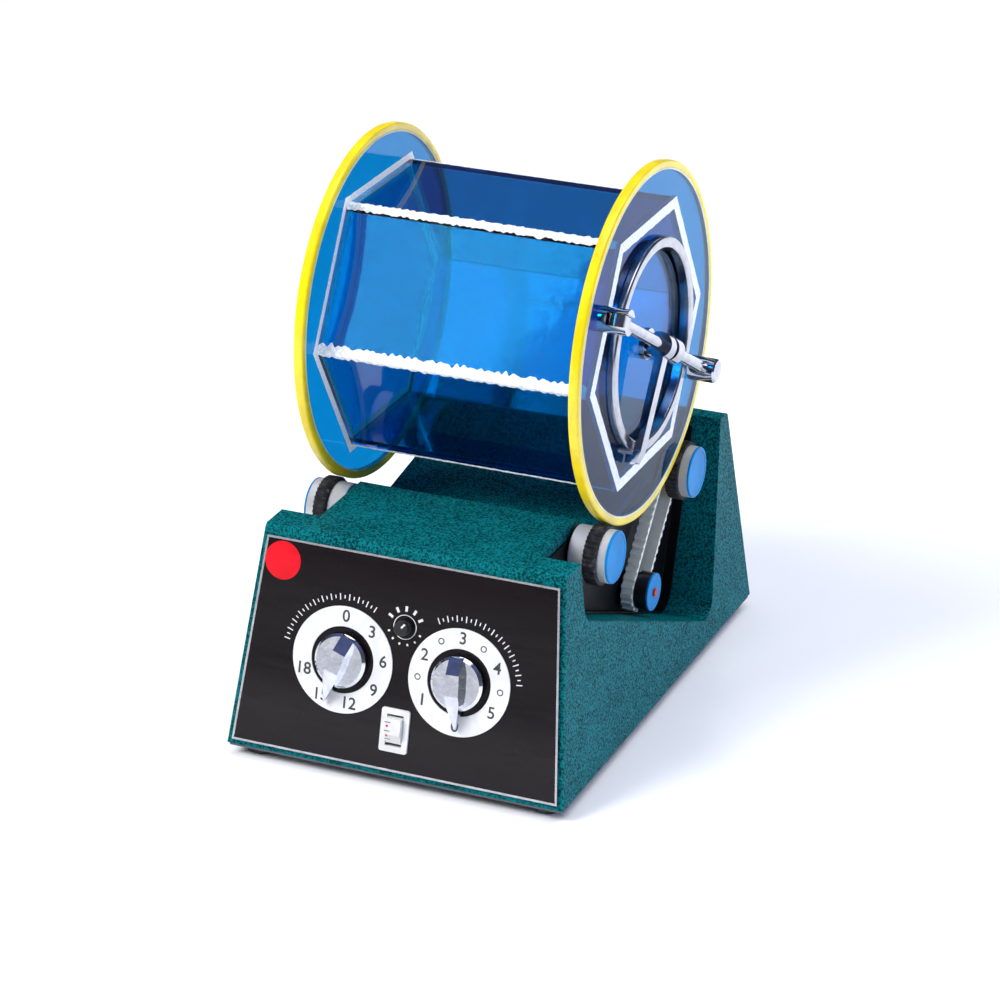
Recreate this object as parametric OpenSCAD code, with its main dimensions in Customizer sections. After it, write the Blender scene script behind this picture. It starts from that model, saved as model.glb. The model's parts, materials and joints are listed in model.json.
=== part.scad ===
// Rotary rock tumbler: a clear six-sided barrel with two round end discs that
// roll on four rubber-tyred rollers, driven through a toothed belt by a geared
// motor inside a folded sheet-metal base.
//
// Frame: millimetres, +Z up, X across the machine (the mouth of the barrel faces
// +X), the controls face -Y. The origin is the middle of the floor under the feet.

/* [Drum] */
// Outside diameter of the rim around each disc
rim_d = 208; // [186:1:252]
// Distance between the middle planes of the two discs
disc_spacing = 165; // [150:1:200]
// Thickness of each disc
disc_t = 5; // [4:0.5:6]
// Thickness of the rim outside the edge of its disc
rim_t = 3; // [2:0.5:4]
// How far the lips of the rim reach in over each face of the disc
rim_lip = 2; // [1:0.5:3]
// Thickness of each lip of the rim
rim_lip_t = 0.6; // [0.4:0.1:1]
// Distance across the flats of the six-sided barrel
barrel_flats = 147; // [136:1:150]
// Thickness of the six barrel panels
panel_wall = 6; // [3:0.5:7]

/* [Mouth and lid] */
// Inside diameter of the mouth ring
mouth_d = 110; // [90:1:112]
// Thickness of the sleeve of the mouth ring
sleeve_t = 3; // [2:0.5:4]
// Width of the outer face of the mouth ring
ring_band = 6.5; // [4:0.5:9]
// How far the mouth ring stands out of the disc
ring_stand = 5; // [3:0.5:6]
// How far the seat of the lid lies below the outer face of the ring
seat_depth = 12.5; // [12:0.5:14]
// Width of the seat
seat_w = 3.5; // [2.5:0.5:5]
// Thickness of the seat
seat_t = 2.5; // [2:0.5:4]
// Thickness of the gasket on the seat
gasket_t = 1.5; // [1:0.1:2]
// Thickness of the lid
lid_t = 4; // [3:0.5:5]
// Gap all round the lid, which it needs to swing out
lid_gap = 1.4; // [1.4:0.1:2]

/* [Clamp] */
// Direction of the cross rod in the plane of the disc, in degrees
clamp_angle = -30; // [-30:60:90]
// Diameter of the cross rod
rod_d = 7; // [5:0.5:8]
// Height of the middle of the rod above the disc
rod_stand = 10; // [9.5:0.5:11]
// Diameter of the posts at the ends of the rod
post_d = 14.5; // [13:0.5:16]
// Height of the posts above the disc
post_h = 16.5; // [16.5:0.5:17.5]
// Diameter of the hinge pin
pin_d = 3.5; // [2.5:0.5:4]
// Radius of the eccentric head of the lever
cam_r = 7.5; // [6.5:0.5:7.5]
// Throw of the eccentric head
cam_throw = 0.8; // [0.4:0.1:1]
// Width of the eccentric head
cam_w = 11; // [8:0.5:14]
// Width of the lever
lever_w = 8; // [5:0.5:10]

/* [Rollers] */
// Diameter of the rubber tyres
tyre_d = 35; // [32:0.5:42]
// Width of the tyres
tyre_w = 8; // [7:0.5:9]
// Diameter of the roller hubs
hub_d = 30.5; // [28:0.5:32]
// Diameter of the groove that holds the tyre
tyre_seat_d = 24; // [20:0.5:26]
// Distance between the two roller shafts
roller_spacing = 128; // [118:1:154]
// Diameter of the roller shafts
shaft_d = 8; // [6:0.5:10]
// Height of the shafts below the top of the base
shaft_drop = 16; // [15:0.5:18]
// Gap left between rim and tyre
contact_gap = 0.3; // [0.2:0.05:0.5]
// Outside diameter of the flange of each shaft bearing
flange_d = 24; // [20:1:27]

/* [Drive] */
// Number of teeth on each pulley
pulley_teeth = 14; // [12:1:16]
// Number of teeth on the belt
belt_teeth = 44; // [42:1:46]
// Pitch of the belt
belt_pitch = 5.08; // [5:0.01:5.08]
// Width of the belt
belt_w = 7; // [6:0.5:7]
// Direction from the motor shaft up to the rear roller shaft, in degrees
belt_angle = 48; // [44:1:52]
// Diameter of the motor and its gearbox
motor_d = 56; // [44:1:60]
// Length of the motor and its gearbox
motor_len = 84; // [60:1:100]

/* [Base] */
// Height of the sheet-metal body
body_h = 127; // [125:1:156]
// Thickness of the sheet
sheet = 1.5; // [1:0.1:2]
// Distance from the bottom front edge back to the front roller shaft
front_run = 99; // [94:1:120]
// Distance from the rear roller shaft back to the bottom rear edge
rear_run = 73; // [66:1:90]
// How far the front face leans back over its height
front_set = 32; // [24:1:38]
// How far the rear face leans in over its height
rear_set = 16; // [8:1:20]
// How much wider the base is at the bottom than at the top, on each side
side_flare = 12; // [6:1:16]
// How far the top of the base stands out past the middle plane of each disc
side_margin = 8.5; // [8:0.5:12]
// Thickness of the rear wall at its top
rear_top = 12; // [8:1:16]
// Height of the deck above the middle of the rear roller shaft
deck_rise = 9; // [9:0.5:11]
// Lean of the front face of the rear wall, in degrees
rear_lean = 18; // [14:1:19]
// Depth of the full-width strip along the top front edge
lip_depth = 20; // [14:1:22]
// Width of the folded edge around the bottom opening
flange_w = 16; // [12:1:20]
// Radius of the bends along the top edges
bend_r = 3; // [2:0.5:4]
// Height of the feet
foot_h = 6; // [5:0.5:10]
// Diameter of the feet at the top
foot_d = 22; // [18:1:26]

/* [Controls] */
// Thickness of the control panel
panel_t = 2; // [1:0.5:2.5]
// Margin of bare metal around the control panel
panel_margin = 3; // [2:0.5:5]
// Width of the bright strip around the control panel
trim_w = 1.2; // [0.8:0.1:2]
// Outside diameter of the dial rings
dial_d = 61; // [50:1:64]
// Inside diameter of the dial rings
dial_hole_d = 38; // [36:1:44]
// Thickness of the dial rings
dial_t = 0.8; // [0.5:0.1:1]
// Distance between the middles of the two dials
dial_spacing = 71; // [66:1:74]
// Height of the dials up the slope of the front face
dial_v = 61; // [56:1:64]
// Diameter of the two large knobs
knob_d = 31; // [26:1:34]
// Height of the large knobs
knob_h = 9.5; // [8:0.5:10]
// Reach of the pointer from the middle of a large knob
pointer_reach = 26; // [18:1:28]
// Height of the trim knob up the slope of the front face
trim_v = 86; // [84:1:92]
// Diameter of the trim knob
trim_knob_d = 9.5; // [8:0.5:12]
// Height of the power switch up the slope of the front face
switch_v = 27; // [22:1:28]
// Width of the power switch
switch_w = 17; // [14:1:18]
// Length of the power switch
switch_l = 25; // [20:1:26]

/* [Hidden] */
$fn = 96;

running = 0.05;      // radial clearance of a running fit
clear = 0.3;         // gap between pieces that must not touch
through = 1;         // how far a cutting shape runs past a face
far = 200;           // longer than anything it cuts
hair = 0.004;        // how far a rounding circle stands past its tangent lines

// Base: a side profile, leaning sides, and two side pockets for rollers and discs
base_depth = front_run + roller_spacing + rear_run;
front_y = -base_depth / 2;
rear_y = base_depth / 2;
plate_z = foot_h;
bottom_z = foot_h + sheet;
top_z = foot_h + body_h;
shell_h = top_z - bottom_z;
front_lean = atan(front_set / shell_h);
back_lean = atan(rear_set / shell_h);
side_lean = atan(side_flare / shell_h);
half_top = disc_spacing / 2 + side_margin;
rear_face_y = rear_y - rear_set - rear_top;
function side_x(z) = half_top + (top_z - z) * tan(side_lean);

// Rollers and drum axis
front_shaft_y = front_y + front_run;
rear_shaft_y = rear_y - rear_run;
shaft_z = top_z - shaft_drop;
drum_y = (front_shaft_y + rear_shaft_y) / 2;
roller_reach = rim_d / 2 + tyre_d / 2 + contact_gap;
drum_z = shaft_z + sqrt(pow(roller_reach, 2) - pow(roller_spacing / 2, 2));
disc_mid = disc_spacing / 2;
disc_out = disc_mid + disc_t / 2;
disc_in = disc_mid - disc_t / 2;
rim_w = disc_t + 2 * rim_lip_t;
tyre_in = disc_mid + 0.8 - tyre_w / 2;
tyre_out = tyre_in + tyre_w;
cap_t = 1.3;
cap_out = half_top + 2.6;
hub_out = cap_out - cap_t;
roller_in = tyre_in - 9.6;
pocket_x = roller_in - 2.7;

// Deck between the pockets: a flat hump, a shallow valley and a ramp to the rear wall
lip_y = front_y + front_set + lip_depth;
hump_y = front_shaft_y + 5.5;
valley_y = hump_y + 21;
ramp_angle = atan((shaft_drop - deck_rise) / (rear_face_y - rear_shaft_y));
valley_z = top_z - (rear_face_y - valley_y) * tan(ramp_angle);
profile = [
    [front_y, bottom_z], [rear_y, bottom_z], [rear_y - rear_set, top_z],
    [rear_face_y, top_z], [valley_y, valley_z], [hump_y, top_z], [front_y + front_set, top_z]
];

// Drive: two equal pulleys, so the belt length gives the distance between shafts
pitch_r = pulley_teeth * belt_pitch / (2 * PI);
belt_centres = (belt_teeth - pulley_teeth) * belt_pitch / 2;
belt_in_r = pitch_r - 1.1;
belt_back_r = pitch_r + 0.6;
belt_tooth_h = 1.3;
motor_y = rear_shaft_y - belt_centres * cos(belt_angle);
motor_z = shaft_z - belt_centres * sin(belt_angle);
belt_x0 = roller_in + 1.4;
belt_x1 = belt_x0 + belt_w;
pulley_out = half_top - 3.8;
bracket_x = pocket_x - sheet - 5;
motor_face_x = bracket_x - 3;

// Side pocket outline: its lower edge runs from under the front roller to just
// under the belt, and its rear edge is the front face of the rear wall
pocket_front_z = shaft_z - tyre_d / 2 - 0.8;
belt_room = belt_back_r + belt_tooth_h + 2;
to_motor = [motor_y - lip_y, motor_z - pocket_front_z];
pocket_slope = atan2(to_motor[1], to_motor[0]) - asin(belt_room / norm(to_motor));
lower_rise = tan(pocket_slope);
rear_rise = tan(rear_lean);
corner_z = (pocket_front_z + lower_rise * (rear_face_y - rear_rise * top_z - lip_y))
    / (1 - lower_rise * rear_rise);
corner_y = rear_face_y - (top_z - corner_z) * rear_rise;
above = top_z + 40;
pocket_outline = [
    [lip_y, above], [lip_y, pocket_front_z], [corner_y, corner_z],
    [rear_face_y + (above - top_z) * rear_rise, above]
];
pocket_radii = [0, 10, 14, 0];

// Outline helpers. Outlines run anticlockwise.
function turned(v, a) = [v[0] * cos(a) - v[1] * sin(a), v[0] * sin(a) + v[1] * cos(a)];
function normal_out(p, q) = turned((q - p) / norm(q - p), -90);
// The point where the lines p + n*d and q + m*d cross, for edges moved out by d
function moved_corner(p0, p1, p2, d) =
    let (n = normal_out(p0, p1), m = normal_out(p1, p2))
    p1 + (n + m) * d / (1 + n * m);
// The outline with every edge moved outwards by d
function grown(points, d) = [
    for (i = [0 : len(points) - 1])
        moved_corner(points[(i + len(points) - 1) % len(points)], points[i],
                     points[(i + 1) % len(points)], d)
];

// An outline whose convex corners are rounded with the radius given for each.
// The circles stand out by a hair, so that arcs and lines cross instead of touching.
module rounded_outline(points, radii) {
    n = len(points);
    function centre(i) =
        moved_corner(points[(i + n - 1) % n], points[i], points[(i + 1) % n], -radii[i]);
    polygon([
        for (i = [0 : n - 1])
            for (k = radii[i] > 0 ? [0, 1] : [0])
                let (p = points[(i + n - 1 + k) % n], q = points[(i + k) % n])
                centre(i) + normal_out(p, q) * radii[i]
    ]);
    for (i = [0 : n - 1])
        if (radii[i] > 0)
            translate(centre(i)) circle(r = radii[i] + hair);
}

module rounded_box(size, r) {
    rounded_outline([[-size[0] / 2, -size[1] / 2], [size[0] / 2, -size[1] / 2],
                     [size[0] / 2, size[1] / 2], [-size[0] / 2, size[1] / 2]], [r, r, r, r]);
}

// Puts a drawing in Y and Z, and its extrusion along X
module along_x(x0, x1) {
    translate([x0, 0, 0]) rotate([90, 0, 90]) linear_extrude(x1 - x0) children();
}

// The same on both sides of the machine
module both_sides() {
    children();
    mirror([1, 0, 0]) children();
}

// A round bar, tube or disc along X around the axis at y, z
module round_x(y, z, x0, x1, d, hole = 0) {
    translate([x0, y, z]) rotate([90, 0, 90]) difference() {
        cylinder(d = d, h = x1 - x0);
        if (hole > 0) translate([0, 0, -through]) cylinder(d = hole, h = x1 - x0 + 2 * through);
    }
}

// Drum frame: local x is +Y, local y is +Z, local z is +X, from the drum's axis
module on_drum() {
    translate([0, drum_y, drum_z]) rotate([90, 0, 90]) children();
}

// Clamp frame: as the drum frame, turned so that local x runs along the cross rod
module on_clamp() {
    on_drum() rotate([0, 0, clamp_angle]) children();
}

// Front face frame: local x across, local y up the slope, local z out of the face
module on_front(u = 0, v = 0) {
    translate([0, front_y, bottom_z]) rotate([90 - front_lean, 0, 0])
        translate([u, v, 0]) children();
}

// Rear face frame: local x to the left as seen from behind, local y up, local z out
module on_rear(u = 0, v = 0) {
    translate([0, rear_y, bottom_z]) rotate([0, 0, 180]) rotate([90 - back_lean, 0, 0])
        translate([u, v, 0]) children();
}

// ---- base -------------------------------------------------------------

// The leaning sides as a block along Y, moved in by the wall
module between_sides(wall) {
    drop = 20;
    inset = wall / cos(side_lean);
    low = side_x(bottom_z - drop) - inset;
    high = side_x(above) - inset;
    translate([0, far, 0]) rotate([90, 0, 0]) linear_extrude(2 * far)
        polygon([[-low, bottom_z - drop], [low, bottom_z - drop], [high, above], [-high, above]]);
}

// Side profile with its top front and top rear edges bent round
module base_profile() {
    rounded_outline(profile, [0, 0, bend_r, 0, 0, 0, bend_r]);
}

module pocket_cut(wall) {
    both_sides() along_x(pocket_x - wall, far)
        rounded_outline(grown(pocket_outline, wall), [for (r = pocket_radii) r > 0 ? r + wall : 0]);
}

foot_inset = 15;
foot_x = side_x(bottom_z) - foot_inset;
foot_y = base_depth / 2 - foot_inset;
plate_screw_y = 45;
screw_d = 4;

module at_feet() {
    for (x = [-foot_x, foot_x]) for (y = [-foot_y, foot_y]) translate([x, y, 0]) children();
}

module at_plate_screws() {
    for (x = [-1, 1]) for (y = [-plate_screw_y, plate_screw_y])
        translate([x * (side_x(bottom_z) - flange_w / 2 - 1), y, 0]) children();
}

spigot_d = 13;
spigot_len = 6;
bush_d = 11;

module at_shafts() {
    for (y = [front_shaft_y, rear_shaft_y]) translate([0, y, shaft_z]) children();
}

module base_shell() {
    inner = grown(profile, -sheet);
    color("#0b7a6b") difference() {
        intersection() {
            along_x(-far, far) base_profile();
            between_sides(0);
        }
        pocket_cut(0);
        difference() {
            intersection() {
                along_x(-far, far) polygon(inner);
                between_sides(sheet);
            }
            pocket_cut(sheet);
        }
        // bottom opening inside the folded edge
        translate([0, 0, bottom_z - through]) linear_extrude(sheet + 2 * through)
            square([2 * (side_x(bottom_z) - flange_w), base_depth - 2 * flange_w], center = true);
        at_feet() translate([0, 0, bottom_z - through])
            cylinder(d = screw_d, h = sheet + 2 * through);
        at_plate_screws() translate([0, 0, bottom_z - through])
            cylinder(d = screw_d, h = sheet + 2 * through);
        // openings for the bearings and the motor shaft
        at_shafts() rotate([0, 90, 0]) cylinder(d = spigot_d, h = 2 * far, center = true);
        round_x(motor_y, motor_z, pocket_x - 3 * sheet, pocket_x + through, motor_boss_d);
        front_holes(sheet + through);
        on_rear(gland_u, gland_v) translate([0, 0, -sheet - through])
            cylinder(d = gland_body_d, h = sheet + 2 * through);
    }
}

module bottom_plate() {
    color("#4a4f52") difference() {
        translate([0, 0, plate_z]) linear_extrude(sheet)
            rounded_box([2 * side_x(bottom_z) - 1, base_depth - 1], 2);
        at_feet() translate([0, 0, plate_z - through]) cylinder(d = screw_d, h = sheet + 2 * through);
        at_plate_screws() translate([0, 0, plate_z - through])
            cylinder(d = screw_d, h = sheet + 2 * through);
        at_bracket_screws() translate([0, 0, plate_z - through])
            cylinder(d = screw_d, h = sheet + 2 * through);
        // cooling slots under the motor
        for (i = [-3 : 3]) translate([motor_mid_x + i * 9, motor_y, plate_z - through])
            linear_extrude(sheet + 2 * through) rounded_box([4, 40], 1.9);
    }
}

foot_taper = 2;
foot_recess_d = 9;
foot_recess = 3;
head_t = 2;

module base_screws() {
    color("#b9bec2") {
        at_feet() {
            translate([0, 0, foot_recess - head_t]) cylinder(d = 7.5, h = head_t);
            translate([0, 0, foot_recess]) cylinder(d = screw_d, h = foot_h + 4 * sheet - foot_recess);
        }
        at_plate_screws() {
            translate([0, 0, plate_z - head_t]) cylinder(d = 7.5, h = head_t);
            translate([0, 0, plate_z]) cylinder(d = screw_d, h = 4 * sheet);
        }
    }
}

module rubber_feet() {
    color("#1a1a1a") at_feet() rotate_extrude()
        polygon([[foot_recess_d / 2, 0], [foot_d / 2 - foot_taper, 0], [foot_d / 2, foot_h],
                 [screw_d / 2, foot_h], [screw_d / 2, foot_recess], [foot_recess_d / 2, foot_recess]]);
}

tray_wall = 1.2;
tray_h = 7.5;

// Black tray that lines the inner wall of the right pocket behind the belt
module belt_tray() {
    edge = grown(pocket_outline, -clear);
    floor_top = top_z - 6;
    color("#111214") difference() {
        along_x(pocket_x, pocket_x + tray_h) intersection() {
            rounded_outline(edge, [for (r = pocket_radii) max(r - clear, 0)]);
            translate([-far, 0]) square([2 * far, floor_top]);
        }
        along_x(pocket_x + tray_wall, pocket_x + tray_h + through)
            rounded_outline(grown(edge, -tray_wall),
                            [for (r = pocket_radii) max(r - clear - tray_wall, 0)]);
        at_shafts() rotate([0, 90, 0]) cylinder(d = flange_d + 1, h = far);
        round_x(motor_y, motor_z, pocket_x - through, pocket_x + 2 * through, motor_boss_d);
        tray_top_cut(floor_top);
    }
}

// The tray has no wall above the lip, where the hump's side ends at the valley
module tray_top_cut(floor_top) {
    along_x(pocket_x - through, pocket_x + tray_h + through)
        polygon([[hump_y - 2, floor_top + through], [valley_y, valley_z - 6],
                 [rear_face_y - 8, floor_top - 1], [rear_face_y - 8, floor_top + through]]);
}

module bearing_housings() {
    outer = pocket_x + 2.2;
    inner = pocket_x - sheet - spigot_len;
    color("#15171a") both_sides() at_shafts() rotate([0, 90, 0]) rotate_extrude() polygon([
        [bush_d / 2, inner], [spigot_d / 2, inner], [spigot_d / 2, pocket_x],
        [flange_d / 2, pocket_x], [flange_d / 2, outer - 0.6], [flange_d / 2 - 0.6, outer],
        [bush_d / 2, outer]
    ]);
}

// Bronze sleeves that the shafts run in
module shaft_bearings() {
    inner = pocket_x - sheet - spigot_len;
    color("#b08a4a") both_sides() at_shafts() rotate([0, 90, 0]) translate([0, 0, inner]) difference() {
        cylinder(d = bush_d, h = pocket_x + 2.2 - inner);
        translate([0, 0, -through]) cylinder(d = shaft_d + 2 * running, h = far);
    }
}

// ---- drive ------------------------------------------------------------

motor_boss_d = 20;
motor_mid_x = motor_face_x - motor_len / 2;
gearbox_len = 24;
bracket_t = 3;
bracket_w = 70;
motor_screw_r = 23;

bracket_foot = 30;

module at_bracket_screws() {
    for (s = [-1, 1]) translate([motor_face_x - bracket_foot + 8, motor_y + s * (bracket_w / 2 - 7), 0])
        children();
}

module gear_motor() {
    color("#3c4044") {
        difference() {
            union() {
                round_x(motor_y, motor_z, motor_face_x - gearbox_len, motor_face_x, motor_d);
                round_x(motor_y, motor_z, motor_face_x - motor_len, motor_face_x - gearbox_len,
                        motor_d - 6);
                round_x(motor_y, motor_z, motor_face_x, motor_face_x + 5, motor_boss_d - 1);
            }
            round_x(motor_y, motor_z, motor_face_x - 20, motor_face_x + 5 + through,
                    shaft_d + 2 * running);
            at_motor_screws() cylinder(d = screw_d, h = 2 * 10, center = true);
        }
    }
}

module at_motor_screws() {
    for (a = [45 : 90 : 315]) translate([motor_face_x, motor_y, motor_z])
        rotate([a, 0, 0]) translate([0, 0, motor_screw_r]) rotate([0, 90, 0]) children();
}

// Upright plate with a foot that is screwed to the bottom plate
module motor_bracket() {
    color("#8d9296") difference() {
        union() {
            translate([motor_face_x, motor_y - bracket_w / 2, bottom_z])
                cube([bracket_t, bracket_w, motor_z + motor_d / 2 + 4 - bottom_z]);
            translate([motor_face_x - bracket_foot + bracket_t, motor_y - bracket_w / 2, bottom_z])
                cube([bracket_foot, bracket_w, bracket_t]);
        }
        round_x(motor_y, motor_z, motor_face_x - through, motor_face_x + bracket_t + through,
                motor_boss_d);
        at_motor_screws() translate([0, 0, -through]) cylinder(d = screw_d, h = bracket_t + 2 * through);
        at_bracket_screws() cylinder(d = screw_d, h = far);
    }
}

// Screws that hold the motor to its bracket and the bracket to the bottom plate
module motor_screws() {
    color("#c8ccd0") {
        at_motor_screws() {
            translate([0, 0, bracket_t]) cylinder(d = 7, h = head_t);
            translate([0, 0, -8]) cylinder(d = screw_d, h = 8 + bracket_t);
        }
        at_bracket_screws() {
            translate([0, 0, plate_z - head_t]) cylinder(d = 7, h = head_t);
            translate([0, 0, plate_z]) cylinder(d = screw_d, h = sheet + bracket_t + 2);
        }
    }
}

// The belt's outline: two half circles of radius r joined by straight runs
module belt_outline(r) {
    translate([motor_y, motor_z]) circle(r = r + hair);
    translate([rear_shaft_y, shaft_z]) circle(r = r + hair);
    translate([motor_y, motor_z]) rotate(belt_angle) translate([0, -r])
        square([belt_centres, 2 * r]);
}

module belt_tooth() {
    translate([belt_back_r - 0.3, -1.25]) square([belt_tooth_h + 0.3, 2.5]);
}

module drive_belt() {
    turn = 180 / (pulley_teeth / 2);
    run = belt_centres / belt_pitch;
    color("#e9e4d0") along_x(belt_x0, belt_x1) difference() {
        union() {
            belt_outline(belt_back_r);
            for (side = [-90, 90]) for (i = [0 : run - 1])
                translate([motor_y, motor_z]) rotate(belt_angle)
                    translate([(i + 0.5) * belt_pitch, 0]) rotate(side) belt_tooth();
            for (i = [0 : pulley_teeth / 2 - 1]) {
                translate([motor_y, motor_z]) rotate(belt_angle + 90 + (i + 0.5) * turn) belt_tooth();
                translate([rear_shaft_y, shaft_z]) rotate(belt_angle - 90 + (i + 0.5) * turn)
                    belt_tooth();
            }
        }
        belt_outline(belt_in_r);
    }
}

module motor_shaft() {
    color("#d5d8da") round_x(motor_y, motor_z, motor_face_x - 18, pulley_out - 3, shaft_d);
}

pulley_d = 2 * (belt_in_r - 0.08);
end_disc_t = 1.2;
end_screw_d = 5;

module motor_pulley() {
    color("#1b1c1f") difference() {
        union() {
            round_x(motor_y, motor_z, belt_x0 - 1, pulley_out - end_disc_t, pulley_d);
            round_x(motor_y, motor_z, belt_x1 + 0.3, pulley_out - end_disc_t, 2 * pitch_r);
        }
        round_x(motor_y, motor_z, belt_x0 - 2, pulley_out - 3, shaft_d);
        round_x(motor_y, motor_z, pulley_out - 4, pulley_out, 3);
    }
}

module pulley_end_disc() {
    color("#1e63c8") round_x(motor_y, motor_z, pulley_out - end_disc_t, pulley_out, 2 * pitch_r, 3);
}

module pulley_screw() {
    color("#e03a1c") {
        round_x(motor_y, motor_z, pulley_out, pulley_out + 1.2, end_screw_d);
        round_x(motor_y, motor_z, pulley_out - 3, pulley_out, 3);
    }
}

module driven_pulley() {
    color("#1b1c1f") {
        round_x(rear_shaft_y, shaft_z, belt_x0 - 1, tyre_in - 0.4, pulley_d, shaft_d);
    }
}

// ---- inside the base --------------------------------------------------

board_y = rear_shaft_y + 12;
board_z = bottom_z + 8;
board_size = [90, 50];

module at_board_holes() {
    for (x = [-1, 1]) for (y = [-1, 1])
        translate([x * (board_size[0] / 2 - 5), board_y + y * (board_size[1] / 2 - 5), 0]) children();
}

module speed_board() {
    color("#1f6b3a") difference() {
        union() {
            translate([0, board_y, board_z]) linear_extrude(1.6) square(board_size, center = true);
            translate([-22, board_y, board_z]) cylinder(d = 18, h = 26);
            translate([2, board_y - 12, board_z]) cube([26, 24, 20]);
        }
        at_board_holes() translate([0, 0, board_z - through]) cylinder(d = 3, h = 5);
    }
}

module board_pillars() {
    color("#d8d3c4") at_board_holes() {
        translate([0, 0, bottom_z]) cylinder(d = 6, h = board_z - bottom_z);
        translate([0, 0, board_z]) cylinder(d = 3, h = 4);
    }
}

gland_u = 62;
gland_v = 26;
gland_bore_d = 7;
gland_body_d = 12;

// Bush for the mains cord, which snaps into the rear wall
module cord_gland() {
    color("#151515") on_rear(gland_u, gland_v) rotate_extrude() polygon([
        [gland_bore_d / 2, -7], [gland_body_d / 2 + 1, -7], [gland_body_d / 2 + 1, -sheet],
        [gland_body_d / 2, -sheet], [gland_body_d / 2, 0], [gland_body_d / 2 + 3, 0],
        [gland_body_d / 2 + 2.4, 2.4], [gland_bore_d / 2, 2.4]
    ]);
}

// ---- controls ---------------------------------------------------------

slope_len = shell_h / cos(front_lean);
control_d = 10;
trim_control_d = 6;
dial_u = dial_spacing / 2;
socket_w = switch_w - 4;
socket_l = switch_l - 4;

// Half the width of the front face at a height v up its slope
function front_half(v) = half_top + (slope_len - v) * cos(front_lean) * tan(side_lean);

module front_outline(margin) {
    low = margin;
    high = slope_len - margin - bend_r;
    polygon([[-front_half(low) + margin, low], [front_half(low) - margin, low],
             [front_half(high) - margin, high], [-front_half(high) + margin, high]]);
}

// Holes for the three control bushes and the switch, through a sheet of thickness t
module front_holes(t) {
    for (s = [-1, 1]) on_front(s * dial_u, dial_v) cylinder(d = control_d, h = 2 * t, center = true);
    on_front(0, trim_v) cylinder(d = trim_control_d, h = 2 * t, center = true);
    on_front(0, switch_v) translate([0, 0, -t]) linear_extrude(2 * t)
        square([socket_w, socket_l], center = true);
}

module control_panel() {
    color("#0c0c0e") difference() {
        on_front() linear_extrude(panel_t) front_outline(panel_margin + trim_w);
        front_holes(panel_t + through);
    }
}

module panel_trim() {
    color("#c9cdd0") on_front() linear_extrude(panel_t - 0.2) difference() {
        front_outline(panel_margin);
        front_outline(panel_margin + trim_w);
    }
}

module dial_ring(u) {
    color("#f4f4f0") on_front(u, dial_v) translate([0, 0, panel_t]) difference() {
        cylinder(d = dial_d, h = dial_t);
        translate([0, 0, -through]) cylinder(d = dial_hole_d, h = dial_t + 2 * through);
    }
}

module timer_dial() { dial_ring(-dial_u); }
module speed_dial() { dial_ring(dial_u); }

spindle_d = 6;

// Threaded bush that holds a control in the front sheet, bored for its spindle
module control_bush(d, hole_d) {
    translate([0, 0, -sheet - 3]) difference() {
        cylinder(d = d, h = sheet + 3 + panel_t);
        translate([0, 0, -through]) cylinder(d = hole_d, h = sheet + panel_t + 3 + 2 * through);
    }
}

module timer_mechanism() {
    box = [38, 40, 28];
    color("#c9b27a") on_front(-dial_u, dial_v) difference() {
        union() {
            control_bush(control_d, spindle_d + 2 * running);
            translate([-box[0] / 2, -box[1] / 2, -sheet - box[2]]) cube([box[0], box[1], box[2]]);
        }
        translate([0, 0, -sheet - 12]) cylinder(d = spindle_d + 2 * running, h = 12 + sheet + 10);
    }
}

module speed_selector() {
    color("#7b5e3a") on_front(dial_u, dial_v) difference() {
        union() {
            control_bush(control_d, spindle_d + 2 * running);
            translate([0, 0, -sheet - 24]) cylinder(d = 34, h = 24);
        }
        translate([0, 0, -sheet - 12]) cylinder(d = spindle_d + 2 * running, h = 12 + sheet + 10);
    }
}

trim_spindle_d = 3;

module trim_potentiometer() {
    color("#56606a") on_front(0, trim_v) difference() {
        union() {
            control_bush(trim_control_d, trim_spindle_d + 2 * running);
            translate([0, 0, -sheet - 10]) cylinder(d = 16, h = 10);
        }
        translate([0, 0, -sheet - 8]) cylinder(d = trim_spindle_d + 2 * running, h = 8 + sheet + 10);
    }
}

bezel_t = 1.4;
frame_w = 1.5;
pivot_n = panel_t - 0.4;
pivot_d = 2;
rocker_h = 4.6;

module switch_housing() {
    hole = [socket_w - 2 * frame_w, socket_l - 2 * frame_w];
    color("#f2f2ee") on_front(0, switch_v) difference() {
        union() {
            translate([0, 0, panel_t]) linear_extrude(bezel_t) rounded_box([switch_w, switch_l], 1.5);
            translate([0, 0, -20]) linear_extrude(20 + panel_t)
                square([socket_w, socket_l], center = true);
        }
        translate([0, 0, -16]) linear_extrude(40) square(hole, center = true);
        translate([0, 0, pivot_n]) rotate([0, 90, 0])
            cylinder(d = pivot_d + 2 * running, h = hole[0] + 2, center = true);
    }
}

// Rocker with a flat upper part and a lower part that slopes back to the frame
module switch_rocker() {
    w = socket_w - 2 * frame_w - 2 * clear;
    reach = socket_l / 2 - frame_w - clear - 1;
    color("#fbfbf8") on_front(0, switch_v) translate([0, 0, pivot_n]) {
        rotate([90, 0, 90]) translate([0, 0, -w / 2]) linear_extrude(w) polygon([
            [-reach, 0], [-3, -4], [3, -4], [reach, 0], [reach - 0.6, rocker_h],
            [-2, rocker_h], [-reach + 0.4, rocker_h / 3]
        ]);
        rotate([0, 90, 0]) cylinder(d = pivot_d, h = w + 2 * clear + 1.6, center = true);
    }
}

timer_rest = -108;
speed_rest = -87;
trim_rest = 50;

knob_lift = panel_t + dial_t + 0.6;
skirt_h = 4;
grip_w = 8;

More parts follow.
